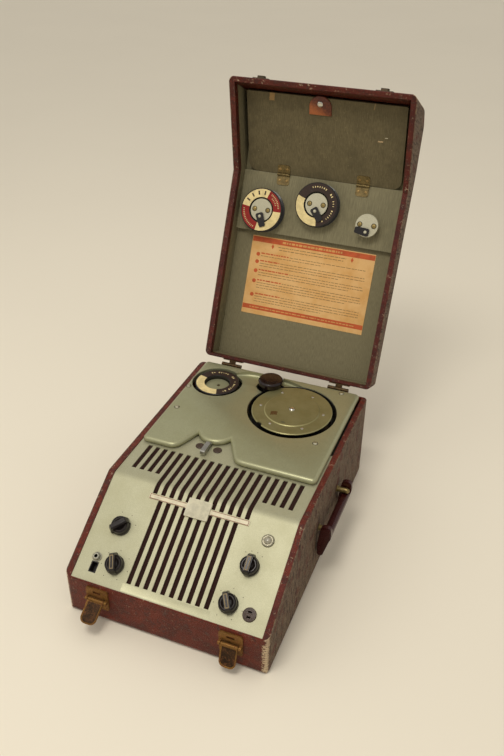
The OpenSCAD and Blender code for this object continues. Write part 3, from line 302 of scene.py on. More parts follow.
def block(points, height, edge=0.0, segments=3):
    """A plate with an outline, a height and rounded top edges, in millimetres."""
    bm = bmesh.new()
    top = raise_face(bm, outline(bm, [(x * MM, y * MM) for x, y in points]), height * MM)
    if edge:
        bmesh.ops.bevel(bm, geom=list(top.edges), offset=edge * MM, segments=segments, affect="EDGES",
                        profile=0.5, material=-1)
    return bm


def turned_piece(profile, steps=48):
    """A shape turned about Z from (radius, height) points in millimetres, from the bottom up."""
    bm = bmesh.new()
    points = [bm.verts.new((r * MM, 0, z * MM)) for r, z in profile]
    edges = [bm.edges.new(pair) for pair in zip(points, points[1:])]
    bmesh.ops.spin(bm, geom=points + edges, angle=math.tau, steps=steps, axis=(0, 0, 1),
                   cent=(0, 0, 0), use_merge=True)
    bmesh.ops.remove_doubles(bm, verts=bm.verts, dist=1e-6)
    bmesh.ops.recalc_face_normals(bm, faces=bm.faces)
    return bm


def sector(inner, outer, start, end, height=0.15, step=6.0):
    """A flat part of a ring between two angles in degrees, in millimetres."""
    count = max(2, int(abs(end - start) / step))
    angles = [math.radians(start + (end - start) * k / count) for k in range(count + 1)]
    points = [(outer * math.cos(a), outer * math.sin(a)) for a in angles]
    points += [(inner * math.cos(a), inner * math.sin(a)) for a in reversed(angles)]
    return block(points, height)


def disc(radius, sides, height):
    """A flat round plate, in millimetres."""
    turns = [math.tau * k / sides for k in range(sides)]
    return block([(radius * math.cos(a), radius * math.sin(a)) for a in turns], height)


def rectangle(width, length, radius=0.0, corners=5):
    """The points of a rectangle with rounded corners, centred on its middle."""
    if not radius:
        return [(-width / 2, -length / 2), (width / 2, -length / 2), (width / 2, length / 2),
                (-width / 2, length / 2)]
    points = []
    for cx, cy, start in ((1, -1, -90), (1, 1, 0), (-1, 1, 90), (-1, -1, 180)):
        for k in range(corners + 1):
            angle = math.radians(start + 90 * k / corners)
            points.append((cx * (width / 2 - radius) + radius * math.cos(angle),
                           cy * (length / 2 - radius) + radius * math.sin(angle)))
    return points


def join(pieces):
    """Several meshes as one."""
    whole = bmesh.new()
    for piece in pieces:
        mesh = bpy.data.meshes.new("part")
        piece.to_mesh(mesh)
        piece.free()
        whole.from_mesh(mesh)
        bpy.data.meshes.remove(mesh)
    return whole


def tray(points, height, rim, depth, edge=0.4):
    """A plate whose top is sunk inside a raised rim, in millimetres."""
    bm = bmesh.new()
    top = raise_face(bm, outline(bm, [(x * MM, y * MM) for x, y in points]), height * MM)
    bmesh.ops.inset_region(bm, faces=[top], thickness=rim * MM, use_even_offset=True)
    outer = [e for e in bm.edges if all(abs(v.co.z - height * MM) < 1e-7 for v in e.verts)]
    inner = set(top.edges)
    bmesh.ops.translate(bm, verts=list(top.verts), vec=(0, 0, -depth * MM))
    bmesh.ops.bevel(bm, geom=[e for e in outer if e not in inner], offset=edge * MM, segments=2,
                    affect="EDGES", profile=0.5, material=-1)
    return bm


def turned_about_x(profile, steps=24):
    """A turned piece that lies along X."""
    return place(turned_piece(profile, steps), Matrix.Rotation(math.pi / 2, 4, "Y"))


def arc(cx, cy, radius, start, end, steps):
    """Points along an arc, in degrees."""
    turns = [math.radians(start + (end - start) * k / steps) for k in range(steps + 1)]
    return [(cx + radius * math.cos(a), cy + radius * math.sin(a)) for a in turns]


def cut_piece(body, cutters, edge=0.0):
    """A mesh after other meshes are joined to it (True) or cut from it (False), with its edges rounded."""
    made = []
    for bm in (body, *[cutter for cutter, _ in cutters]):
        mesh = bpy.data.meshes.new("cutting")
        bm.to_mesh(mesh)
        bm.free()
        item = bpy.data.objects.new("cutting", mesh)
        bpy.context.scene.collection.objects.link(item)
        made.append(item)
    for item, (_, joined) in zip(made[1:], cutters):
        modifier = made[0].modifiers.new("cut", "BOOLEAN")
        modifier.operation = "UNION" if joined else "DIFFERENCE"
        modifier.solver = "EXACT"
        modifier.object = item
    if edge:
        modifier = made[0].modifiers.new("edge", "BEVEL")
        modifier.width = edge * MM
        modifier.segments = 3
        modifier.limit_method = "ANGLE"
        modifier.angle_limit = math.radians(50)
        modifier.use_clamp_overlap = True
    shaped = made[0].evaluated_get(bpy.context.evaluated_depsgraph_get()).to_mesh()
    bm = bmesh.new()
    bm.from_mesh(shaped)
    for item in made:
        mesh = item.data
        bpy.data.objects.remove(item)
        bpy.data.meshes.remove(mesh)
    return bm


def place_up(matrix, height):
    """The same frame, shifted along its own Z in millimetres."""
    return matrix @ Matrix.Translation((0, 0, height * MM))


def screw(radius=3.1, height=1.1, slot=0.9, turn=40):
    """A domed screw head with a slot across it, in millimetres."""
    r, h = radius, height
    dome = [(0, 0), (r, 0), (r, h * 0.35), (r * 0.86, h * 0.75), (r * 0.5, h * 0.96), (0, h)]
    head = turned_piece(dome, 20)
    cut = place(block(rectangle(2.4 * r, slot), h), spot(0, 0, h * 0.45, turn))
    return cut_piece(head, [(cut, False)])


def place(bm, *matrices):
    """Moves a mesh through some matrices, the last one first."""
    for matrix in reversed(matrices):
        bmesh.ops.transform(bm, matrix=matrix, verts=bm.verts)
    return bm


def spot(x, y, z=0.0, turn=0.0):
    """A shift in millimetres after a turn in degrees about Z."""
    return Matrix.Translation((x * MM, y * MM, z * MM)) @ Matrix.Rotation(math.radians(turn), 4, "Z")


def add(name, bm, body, finish, sharp=35.0):
    """Adds a finished mesh to the scene as a piece that rides on a body."""
    mesh = bpy.data.meshes.new(name)
    bm.to_mesh(mesh)
    bm.free()
    mesh.materials.append(finish.material)
    mesh.polygons.foreach_set("use_smooth", [True] * len(mesh.polygons))
    mesh.set_sharp_from_angle(angle=math.radians(sharp))
    piece = bpy.data.objects.new(name, mesh)
    bpy.context.scene.collection.objects.link(piece)
    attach(piece, body)
    return piece


def dress(finish, *nodes):
    """Gives CAD nodes a finish in place of their plain one."""
    for name in nodes:
        for slot in NODES[name].material_slots:
            slot.material = finish.material
        if not NODES[name].material_slots:
            NODES[name].data.materials.append(finish.material)


# ---------------------------------------------------------------- finishes

def shut_lid_axes(finish):
    """Where a point of the open lid lies with the lid shut: metres from the middle, front and underside."""
    shut = finish.through(open_lid())
    x, y, z = finish.axes(shut)
    return shut, x, y + CASE_LENGTH / 2, z


def covered(finish, sizes, place_now, wear_and_highlight, edge):
    """The burgundy cloth: its grain, its blotches and the paler scuffs where wear_and_highlight and edge are
    high.
    """
    grain = finish.cells(0.0011, place_now, "DISTANCE_TO_EDGE")
    blotch = finish.noise(0.03, 5, 0.65, place_now)
    fleck = finish.noise(0.0035, 6, 0.75, place_now)
    rub = finish.noise(0.012, 6, 0.7, place_now, 0.6)
    grime_and_shade = finish.noise(0.009, 5, 0.7, place_now, 0.8)
    deep = shade(sizes.cover_colour, 0.5)
    base = blotch.ramp((0.38, deep), (0.5, tuple(sizes.cover_colour)),
                       (0.62, shade(sizes.cover_colour, (1.35, 1.5, 1.4))))
    base = finish.mix(grime_and_shade.rise(0.50, 0.60) * 0.75, base, rgb("30201a"))
    base = finish.mix((rub * 0.5 + grime_and_shade * 0.5).rise(0.55, 0.62) * 0.55, base, rgb("5b4a3f"))
    base = finish.mix(grain.rise(0.0, 0.22), deep, base)
    base = finish.mix(fleck.rise(0.60, 0.65) * 0.75, base, rgb("957a62"))
    faded = finish.mix(fleck.rise(0.35, 0.66), rgb("4a3429"), rgb("7d6b56"))
    faded = finish.mix(finish.noise(0.02, 4, 0.6, place_now).rise(0.52, 0.66), faded, rgb("5c3228"))
    base = finish.mix((wear_and_highlight * 1.25 - 1 + rub).rise(0.10, 0.45), base, faded)
    bare = (fleck * 0.55 + rub * 0.45 + edge * sizes.edge_wear).rise(0.645, 0.70)
    return finish.mix(bare, base, rgb("b59d80")), grain, bare


def cover_finish(name, sizes, lid=False):
    """Burgundy leathercloth, rubbed grey on the sides, with the lid's lining where it turns inwards."""
    finish = Finish(name, roughness=0.42, Specular_IOR_Level=0.28)
    if lid:
        where, x, y, z = shut_lid_axes(finish)
    else:
        where = finish.place
        x, y, z = finish.axes()
        y = y + CASE_LENGTH / 2
    half = abs(x)
    side = half.rise(0.1405, 0.1428)
    rim = (z - FRONT_HEIGHT) * math.cos(SLOPE) - y * math.sin(SLOPE)
    flat = z - RAIL_HEIGHT
    rim = rim.larger(flat)
    under_rim = abs(rim)
    corner = (half - 0.134).larger(0.0) + (0.009 - y).larger(0.0)
    edge = corner.rise(0.010, 0.016) + (0.003 - under_rim).rise(0.0, 0.003) * 0.12
    if lid:
        edge = edge + (0.010 - y).rise(0.0, 0.008) * 0.06
    colour, grain, bare = covered(finish, sizes, where, side, edge)
    streak = finish.streaks(0.0034, (1, 1, 8), where)
    drift = finish.streaks(0.008, (1, 3, 1), where)
    colour = finish.mix(side * streak.rise(0.54, 0.70) * 0.85, colour, rgb("75634a"))
    colour = finish.mix(side * streak.rise(0.50, 0.36) * 0.9, colour, rgb("2a1710"))
    colour = finish.mix(side * drift.rise(0.60, 0.70) * 0.5, colour, rgb("82704f"))
    rough = 0.34 + 0.34 * side + 0.25 * bare + grain.rise(0.2, 0.0) * 0.2
    if lid:
        crown = RAIL_HEIGHT + 0.044
        slant = Vector((26 - 150, -20)).normalized()
        brow = Vector((-26, -28)).normalized()
        top = crown - z
        top = top.smaller((y - 0.150) * -slant.y + (crown - z) * -slant.x)
        top = top.smaller((y - 0.026) * -brow.y + (crown - 0.020 - z) * -brow.x)
        inside = (0.1345 - half).smaller(y - 0.0085).smaller(CASE_LENGTH - 0.0045 - y)
        inside = inside.smaller(top - 0.0022).rise(-0.0001, 0.0001)
        lining, relief = lining_colour(finish, sizes, where)
        wrapped = (rim - LID_GAP - 0.0095 - finish.noise(0.02, 2, 0.5, where) * 0.003).rise(0.0, 0.0006)
        colour = finish.mix(inside * wrapped, colour, lining)
        rough = rough + inside * wrapped * 0.35
        relief = relief * inside * wrapped + grain.rise(0.0, 0.3) * (1 - inside * wrapped)
        finish.bump(relief, 0.00035, 0.6)
    else:
        stitch = abs(((z + x * 0.4) / 0.0042) % 1.0 - 0.5) * 2
        torn = finish.noise(0.004, 4, 0.7, where)
        reach = (0.011 - y - stitch * 0.004 - torn * 0.008).rise(0.0, 0.0008)
        reach = reach * (x - 0.1250 - torn * 0.014 - stitch * 0.003).rise(0.0, 0.001)
        reach = reach * (z + torn * 0.02).rise(0.012, 0.016) * (0.056 - z).rise(0.0, 0.004)
        fray = reach * (torn + stitch * 0.22).rise(0.54, 0.64)
        colour = finish.mix(fray, colour, rgb("cdb793"))
        rough = rough + fray * 0.3
        finish.bump(grain.rise(0.0, 0.3) - bare * 0.6 - fray * 1.5, 0.0004, 0.6)
    finish.set("Base Color", colour).set("Roughness", rough)
    return finish


def lining_colour(finish, sizes, where):
    """Olive grey paper cloth with a fine upright brushing and some scuffs."""
    brush = finish.streaks(0.0009, (1, 9, 3), where)
    cloud = finish.noise(0.05, 4, 0.6, where)
    colour = tuple(sizes.lining_colour)
    dark = shade(colour, 0.76)
    light = shade(colour, 1.25)
    base = finish.mix(brush.rise(0.25, 0.8), dark, light)
    base = finish.mix(cloud.rise(0.35, 0.7) * 0.6, base, colour)
    scuff = finish.streaks(0.006, (1, 5, 2), where, 6).rise(0.72, 0.80)
    return finish.mix(scuff * 0.7, base, rgb("a8966e")), brush


def board_finish(name, colour, mottle, patches=()):
    """A board covered in grey paper cloth, with torn paper left at (x, y, half width, half length) places."""
    finish = Finish(name, roughness=0.8, Specular_IOR_Level=0.25)
    where, x, y, z = shut_lid_axes(finish)
    brush = finish.streaks(0.0015, (1, 12, 3), where)
    cloud = finish.noise(0.028, 5, 0.7, where)
    fleck = finish.noise(0.0022, 3, 0.6, where)
    colour = tuple(colour)
    base = finish.mix(brush.rise(0.2, 0.85), shade(colour, 0.78), shade(colour, 1.22))
    base = finish.mix(cloud.rise(0.4, 0.72) * mottle, base, shade(colour, 0.62))
    base = finish.mix(fleck.rise(0.66, 0.74) * 0.5, base, rgb("988a66"))
    scuff = finish.streaks(0.005, (1, 4, 1), where, 6).rise(0.735, 0.79)
    colour_now = finish.mix(scuff * 0.8, base, rgb("b29a6c"))
    frayed = finish.noise(0.0025, 4, 0.7, where) * 0.002
    for px, ps, half_w, half_s, code, turn in patches:
        near_x, near_s = abs(x + (y - ps) * turn - px), abs(y - ps)
        inside = (half_w - near_x - frayed).smaller(half_s - near_s - frayed).rise(0.0, 0.0008)
        colour_now = finish.mix(inside * fleck.rise(0.15, 0.42), colour_now, rgb(code))
    finish.set("Base Color", colour_now)
    return finish.bump(brush + fleck * 0.5, 0.0002, 0.5)


def silver_paint(name, colour, metallic=0.55, roughness=0.46, dirt=0.5):
    """Satin silver paint with a fine sparkle, some specks of dirt and rubbed patches."""
    finish = Finish(name, metallic=metallic, Specular_IOR_Level=0.5)
    spark = finish.noise(0.0007, 2, 0.6)
    cloud = finish.noise(0.045, 4, 0.6)
    speck = finish.noise(0.0028, 5, 0.8)
    stain = finish.noise(0.016, 5, 0.75, distortion=1.2)
    colour = tuple(colour)
    base = finish.mix(spark.rise(0.3, 0.72), shade(colour, 0.86), shade(colour, 1.12))
    base = finish.mix(cloud.rise(0.35, 0.7) * 0.35, base, shade(colour, (0.82, 0.80, 0.70)))
    base = finish.mix(stain.rise(0.66, 0.76) * dirt, base, shade(colour, (0.62, 0.54, 0.40)))
    base = finish.mix(speck.rise(0.70, 0.76) * dirt, base, shade(colour, 0.30))
    scratch = finish.streaks(0.0018, (9, 2, 1), finish.moved(rotation=(0, 0, 0.35)), 5)
    base = finish.mix(scratch.rise(0.735, 0.77) * dirt * 0.8, base, shade(colour, 0.45))
    finish.set("Base Color", base)
    finish.set("Roughness", roughness + cloud * 0.12 + stain.rise(0.6, 0.8) * 0.15)
    return finish.bump(spark + cloud * 3 + speck.rise(0.7, 0.8) * -2, 0.00006, 0.35)


def disc_finish(name, colour):
    """The take-up disc's paint: turned rings, a bare brown patch, a smudge and a painted highlight on the
    front left of the inner ring.
    """
    finish = Finish(name, metallic=0.55, Specular_IOR_Level=0.5)
    x, y, z = finish.axes(finish.moved(location=tuple(-from_front(*TAKEUP_AT, 0))))
    radius = (x * x + y * y) ** 0.5
    rings = abs((radius / 0.0016) % 1.0 - 0.5)
    cloud = finish.noise(0.03, 4, 0.6)
    fine = finish.noise(0.0016, 5, 0.7)
    colour = tuple(colour)
    base = finish.mix(cloud.rise(0.35, 0.7), colour, shade(colour, (0.84, 0.82, 0.72)))
    base = finish.mix(fine.rise(0.68, 0.75) * 0.6, base, shade(colour, 0.35))
    ragged = finish.noise(0.005, 4, 0.7) * 0.005
    spot_x, spot_y = abs(x + y * 0.25 + 0.0265), abs(y - x * 0.25 + 0.0128)
    patch = (0.0080 - spot_x - ragged).smaller(0.0078 - spot_y - ragged).rise(0.0, 0.0006)
    base = finish.mix(patch * fine.rise(0.25, 0.5), base, rgb("604119"))
    smudge = ((x + 0.0017) * (x + 0.0017) * 0.25 + (y + 0.0351) * (y + 0.0351)) ** 0.5
    base = finish.mix((0.0030 - smudge - ragged * 0.3).rise(0.0, 0.0008) * 0.6, base, rgb("50564e"))
    # Painted highlight: the edge of the inner ring is made lighter on its front left, where light catches it.
    wear_and_highlight = (0.0016 - abs(radius - 0.0412)).rise(0.0, 0.001) * (x * -0.5 - y).rise(-0.01, 0.03)
    base = finish.mix(wear_and_highlight * 0.35, base, shade(colour, 1.9))
    rim = (radius - 0.0592).rise(0.0, 0.0012)
    base = finish.mix(rim * 0.35, base, shade(colour, 1.5))
    finish.set("Base Color", base)
    finish.set("Roughness", 0.34 + cloud * 0.12 + patch * 0.35)
    return finish.bump(rings * 0.25 + fine * 0.5, 0.00006, 0.4)


def old_brass(name, colour, rust=0.5, roughness=0.42):
    """Brass or plated iron that has gone dull, with rust and dark dirt."""
    finish = Finish(name, metallic=0.75, Specular_IOR_Level=0.5)
    cloud = finish.noise(0.006, 6, 0.75, distortion=0.8)
    fine = finish.noise(0.0012, 4, 0.7)
    colour = tuple(colour)
    base = cloud.ramp((0.28, shade(colour, 0.28)), (0.48, colour),
                      (0.66, shade(colour, 1.5)))
    rusty = (cloud * 0.5 + fine * 0.5 + rust * 0.25).rise(0.60, 0.68)
    finish.set("Base Color", finish.mix(rusty, base, rgb("6b3f1c")))
    finish.set("Metallic", 0.75 - 0.55 * rusty)
    finish.set("Roughness", roughness + 0.35 * rusty + fine * 0.1)
    return finish.bump(cloud + fine * 0.4, 0.0002, 0.5)


def bright_metal(name, colour, roughness=0.22, dirt=0.4):
    """Polished or turned metal with fine scratches."""
    finish = Finish(name, metallic=1.0)
    scratch = finish.streaks(0.0012, (8, 1, 1))
    cloud = finish.noise(0.004, 4, 0.6)
    colour = tuple(colour)
    base = finish.mix(cloud.rise(0.4, 0.75) * dirt, colour, shade(colour, 0.45))
    finish.set("Base Color", finish.mix(scratch.rise(0.3, 0.8) * 0.3, base, shade(colour, 0.7)))
    finish.set("Roughness", roughness + scratch * 0.15 + cloud.rise(0.5, 0.8) * 0.2)
    return finish.bump(scratch, 0.00003, 0.3)


def moulded(name, colour, roughness=0.28, swirl=0.5, dust=0.3):
    """Moulded bakelite or celluloid: dark, glossy, a little marbled and dusty."""
    finish = Finish(name, Coat_Roughness=0.1, Specular_IOR_Level=0.3)
    marble = finish.noise(0.006, 5, 0.7, distortion=2.0)
    fine = finish.noise(0.0015, 5, 0.75)
    colour = tuple(colour)
    base = finish.mix(marble.rise(0.4, 0.7) * swirl, colour, tuple(min(1, c * 1.9 + 0.004) for c in colour))
    finish.set("Base Color", finish.mix(fine.rise(0.62, 0.78) * dust * 0.6, base, rgb("8c7d68")))
    finish.set("Roughness", roughness + fine * 0.2)
    finish.set("Coat Weight", 0.22 - 0.2 * fine.rise(0.5, 0.8))
    return finish.bump(fine, 0.00008, 0.35)


def cloth_finish(name, colour):
    """Open woven speaker cloth."""
    finish = Finish(name, roughness=0.95, Specular_IOR_Level=0.15)
    x, y, z = finish.axes()
    over = (x / 0.0011) % 1.0
    along = ((y + z) / 0.0013) % 1.0
    thread = abs(over - 0.5) + abs(along - 0.5)
    colour = tuple(colour)
    weave = finish.mix(thread.rise(0.3, 0.8), shade(colour, 1.5), shade(colour, 0.35))
    tone = finish.noise(0.012, 3, 0.6)
    finish.set("Base Color", finish.mix(tone.rise(0.4, 0.7) * 0.5, weave, shade(colour, 0.7)))
    return finish.bump(thread * -1.0, 0.0004, 0.7)


def aged_paper(name, colour, spots=0.5):
    """Paper gone brown, with foxing and soft creases."""
    finish = Finish(name, roughness=0.75, Specular_IOR_Level=0.25)
    cloud = finish.noise(0.03, 5, 0.65)
    spot_field = finish.noise(0.0035, 4, 0.7)
    colour = tuple(colour)
    base = finish.mix(cloud.rise(0.3, 0.75), colour, shade(colour, (0.85, 0.74, 0.55)))
    finish.set("Base Color", finish.mix(spot_field.rise(0.66, 0.76) * spots, base, rgb("7a5a30")))
    return finish.bump(cloud + spot_field * 0.2, 0.0004, 0.4)


def printed(name, colour, wear=0.4, roughness=0.6):
    """Ink or label print that has rubbed in places."""
    finish = Finish(name, roughness=roughness, Specular_IOR_Level=0.3)
    rub = finish.noise(0.0022, 5, 0.75)
    cloud = finish.noise(0.009, 3, 0.6)
    colour = tuple(colour)
    base = finish.mix(cloud.rise(0.35, 0.7), colour, shade(colour, 0.78))
    bleached = tuple(0.5 * c + 0.22 for c in colour)
    finish.set("Base Color", finish.mix(rub.rise(0.60, 0.72) * wear, base, bleached))
    return finish.bump(rub, 0.00005, 0.3)


# ---------------------------------------------------------------- sizes and colours

def colour_setting(name, description, code):
    return FloatVectorProperty(name=name, description=description, subtype="COLOR", size=3, min=0, max=1,
                               default=rgb(code))


class CaseSettings(bpy.types.PropertyGroup):
    """Finish of the case and its hardware."""
    cover_colour: colour_setting("Cloth", "Colour of the case's burgundy cloth", "6c2411")
    edge_wear: FloatProperty(name="Edge wear", description="How bare the corners are rubbed", default=0.55,
                             min=0, max=1, subtype="FACTOR")
    brass_colour: colour_setting("Brass", "Colour of the latches and hinges", "84602c")
    grip_colour: colour_setting("Grip", "Colour of the handle's grip", "310c0a")
    rust: FloatProperty(name="Rust", description="How rusty the latches are", default=0.45, min=0, max=1,
                        subtype="FACTOR")


class PanelSettings(bpy.types.PropertyGroup):
    """Finish of the sloping control panel."""
    paint_colour: colour_setting("Panel", "Colour of the panel's silver paint", "b4b193")
    bar_colour: colour_setting("Bar", "Colour of the trim bar", "ddd2b3")
    mark_colour: colour_setting("Marks", "Colour of the printed dots", "4a4436")
    knob_colour: colour_setting("Knobs", "Colour of the bakelite knobs", "1c1614")
    pointer_colour: colour_setting("Pointers", "Colour of the rubbed pointers", "84724f")
    dot_radius: FloatProperty(name="Dot radius", description="Radius of a printed dot", default=0.0006,
                              min=0.0003, max=0.002, subtype="DISTANCE", unit="LENGTH")
    dots: IntProperty(name="Dots", description="Number of dots round a volume control", default=7, min=3,
                      max=11)


class DeckSettings(bpy.types.PropertyGroup):
    """Finish of the deck."""
    paint_colour: colour_setting("Cover", "Colour of the deck's olive grey paint", "a6a582")
    disc_colour: colour_setting("Disc", "Colour of the take-up disc", "8e885e")
    cap_colour: colour_setting("Cap", "Colour of the head's cap", "170806")
    lip: FloatProperty(name="Lip", description="Radius of the cover's rolled edge", default=0.0052, min=0.002,
                       max=0.0055, subtype="DISTANCE", unit="LENGTH")


class LidSettings(bpy.types.PropertyGroup):
    """Finish of the lid's inside."""
    cover_colour: colour_setting("Cloth", "Colour of the lid's burgundy cloth", "5c1f12")
    edge_wear: FloatProperty(name="Edge wear", description="How bare the rim is rubbed", default=0.5, min=0,
                             max=1, subtype="FACTOR")
    lining_colour: colour_setting("Lining", "Colour of the lid's lining", "787054")
    board_colour: colour_setting("Board", "Colour of the board behind the spools", "7f785c")
    flap_colour: colour_setting("Flap", "Colour of the pocket flap", "655b41")
    sheet_colour: colour_setting("Sheet", "Colour of the printed sheet", "deb276")
    ink_colour: colour_setting("Ink", "Colour of the sheet's bands", "c1582c")
    label_colour: colour_setting("Labels", "Cream of the spool labels", "e4cf94")


class StageSettings(bpy.types.PropertyGroup):
    """Floor, light and camera."""
    floor_colour: colour_setting("Floor", "Colour of the floor", "efe6d2")
    lens: FloatProperty(name="Lens", description="Focal length of the camera", default=38.1, min=20, max=100,
                        unit="CAMERA")
    key_power: FloatProperty(name="Key light", description="Power of the soft light over the front",
                             default=14, min=0, max=500, unit="POWER")
    sky: FloatProperty(name="Room light", description="Strength of the even light all round", default=0.62,
                       min=0, max=2)


# ---------------------------------------------------------------- operators

class RECORDER_OT_stage(bpy.types.Operator):
    """Puts the floor, the lights and the camera round the recorder"""
    bl_idname = "recorder.stage"
    bl_label = "Stage"

    def execute(self, context):
        scene = context.scene
        settings = scene.recorder_stage
        floor = bmesh.new()
        bmesh.ops.create_circle(floor, cap_ends=True, segments=64, radius=9)
        mesh = bpy.data.meshes.new("floor")
        floor.to_mesh(mesh)
        floor.free()
        finish = Finish("floor", roughness=0.75, Specular_IOR_Level=0.15)
        cloud = finish.noise(0.6, 3, 0.5)
        colour = tuple(settings.floor_colour)
        finish.set("Base Color", finish.mix(cloud.rise(0.3, 0.7), colour, shade(colour, 0.985)))
        mesh.materials.append(finish.material)
        ground = bpy.data.objects.new("floor", mesh)
        scene.collection.objects.link(ground)
        self.add_camera(scene, settings)
        self.add_lights(scene, settings)
        scene.view_settings.view_transform = "Standard"
        return {"FINISHED"}

    def add_camera(self, scene, settings):
        """The camera stands where the photograph was taken from."""
        heading, pitch, roll = math.radians(21.26), math.radians(33.22), math.radians(0.695)
        camera = bpy.data.objects.new("camera", bpy.data.cameras.new("camera"))
        camera.data.lens = settings.lens
        camera.data.sensor_width = 36
        camera.location = (0.3482, -0.8114, 0.8531)
        turn = Matrix.Rotation(heading, 4, "Z") @ Matrix.Rotation(math.pi / 2 - pitch, 4, "X")
        camera.rotation_euler = (turn @ Matrix.Rotation(roll, 4, "Z")).to_euler()
        scene.collection.objects.link(camera)
        scene.camera = camera

    def add_lights(self, scene, settings):
        """A soft key light over the camera's left shoulder, a weak fill and an even room light."""
        for name, power, size, where in (("key", settings.key_power, 0.7, (-0.12, -0.75, 2.0)),
                                         ("fill", settings.key_power * 0.25, 1.8, (-1.3, -1.0, 1.6)),
                                         ("top", settings.key_power * 0.2, 1.8, (-0.2, 0.5, 2.5))):
            lamp = bpy.data.objects.new(name, bpy.data.lights.new(name, "AREA"))
            lamp.data.shape = "DISK"
            lamp.data.size = size
            lamp.data.color = (1.0, 0.965, 0.91)
            lamp.data.energy = power
            lamp.location = where
            aim = Vector((0, 0.05, 0.15)) - Vector(where)
            lamp.rotation_euler = aim.to_track_quat("-Z", "Y").to_euler()
            scene.collection.objects.link(lamp)
        world = bpy.data.worlds.new("room")
        world.use_nodes = True
        tree = world.node_tree
        room = tree.nodes["Background"]
        room.inputs["Color"].default_value = (1, 0.965, 0.91, 1)
        room.inputs["Strength"].default_value = settings.sky
        seen = tree.nodes.new("ShaderNodeBackground")
        seen.inputs["Color"].default_value = (*rgb("e6dcc6"), 1)
        path = tree.nodes.new("ShaderNodeLightPath")
        switch = tree.nodes.new("ShaderNodeMixShader")
        tree.links.new(path.outputs["Is Camera Ray"], switch.inputs["Fac"])
        tree.links.new(room.outputs[0], switch.inputs[1])
        tree.links.new(seen.outputs[0], switch.inputs[2])
        tree.links.new(switch.outputs[0], tree.nodes["World Output"].inputs["Surface"])
        scene.world = world


class RECORDER_OT_case(bpy.types.Operator):
    """Covers the case and the lid, and finishes the handle, latches and hinges"""
    bl_idname = "recorder.case"
    bl_label = "Case, lid and hardware"

    def execute(self, context):
        settings = context.scene.recorder_case
        lid = context.scene.recorder_lid
        dress(cover_finish("case cloth", settings), "case_shell")
        dress(cover_finish("lid cloth", lid, lid=True), "lid_shell")
        brass = old_brass("latch brass", settings.brass_colour, settings.rust)
        dress(brass, "latch_plates")
        dress(old_brass("keeper steel", rgb("3f3527"), 0.2), "lid_keepers")
        dress(old_brass("hinge brass", rgb("70603c"), 0.15), "door_hinge_fixed", "door_hinge_moving")
        dress(old_brass("lid hinge brass", rgb("4b3a22"), 0.3), "case_hinge_leaves", "lid_hinge_leaves",
              "lid_hinge_pins")
        dress(old_brass("post brass", rgb("8d7c4e"), 0.1, 0.35), "handle_posts")
        grip = moulded("grip maroon", settings.grip_colour, 0.18, 0.5, 0.06)
        dress(grip, "handle_grip")
        for side, angle in (("left", 60), ("right", 18)):
            self.add_lever(side, -94 if side == "left" else 94, angle, brass)
        self.add_door_screws(old_brass("hinge screws", rgb("94794a"), 0.1))
        return {"FINISHED"}

    def add_lever(self, side, x, angle, brass):
        """A latch's tongue: a rolled barrel and a plate with a sunk face and a raised rim."""
        def tongue(half_width, top, radius):
            return [(-half_width, top), *arc(-3.0, -23.0, radius, 188, 270, 8),
                    *arc(3.0, -23.0, radius, 270, 352, 8), (half_width, top)]

        plate = place(tray(tongue(11.5, 0, 8.2), 3.2, 1.9, 1.5), spot(0, 0, -1.0))
        sunk = place(block(tongue(9.4, -3.4, 6.2), 0.25), spot(0, 0, 0.65))
        barrel = turned_about_x([(0, -11.5), (2.2, -11.5), (2.6, -11.0), (2.6, 11.0), (2.2, 11.5), (0, 11.5)])
        hang = Matrix.Translation(from_front(x, -5.4, 41)) @ Matrix.Rotation(math.radians(-angle), 4, "X") @ \
            Matrix.Rotation(math.pi / 2, 4, "X")
        lever = add("latch_tongue_" + side, place(join([plate, barrel]), hang), "latch_" + side,
                    brass)
        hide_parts("latch_lever_" + side)
        # A thin dark plate lies in the sunk middle of the tongue.
        add("latch_face_" + side, place(sunk, hang), "latch_" + side,
            old_brass("latch grime " + side, rgb("3a2715"), 0.35, 0.5))

    def add_door_screws(self, brass):
        """Two screws in each leaf of the pocket's hinges."""
        board, flap = [], []
        for x in (-66, 66):
            for dx in (-6, 6):
                board.append(place(screw(2.3, 0.9, 0.6, 30 + 4 * dx), lid_frame(x + dx, 301.9, 28.3)))
                flap.append(place(screw(2.3, 0.9, 0.6, 70 - 5 * dx), door_frame(x + dx, 152.5, 26.9)))
        add("board_hinge_screws", join(board), "lid", brass)
        add("flap_hinge_screws", join(flap), "pocket_flap", brass)


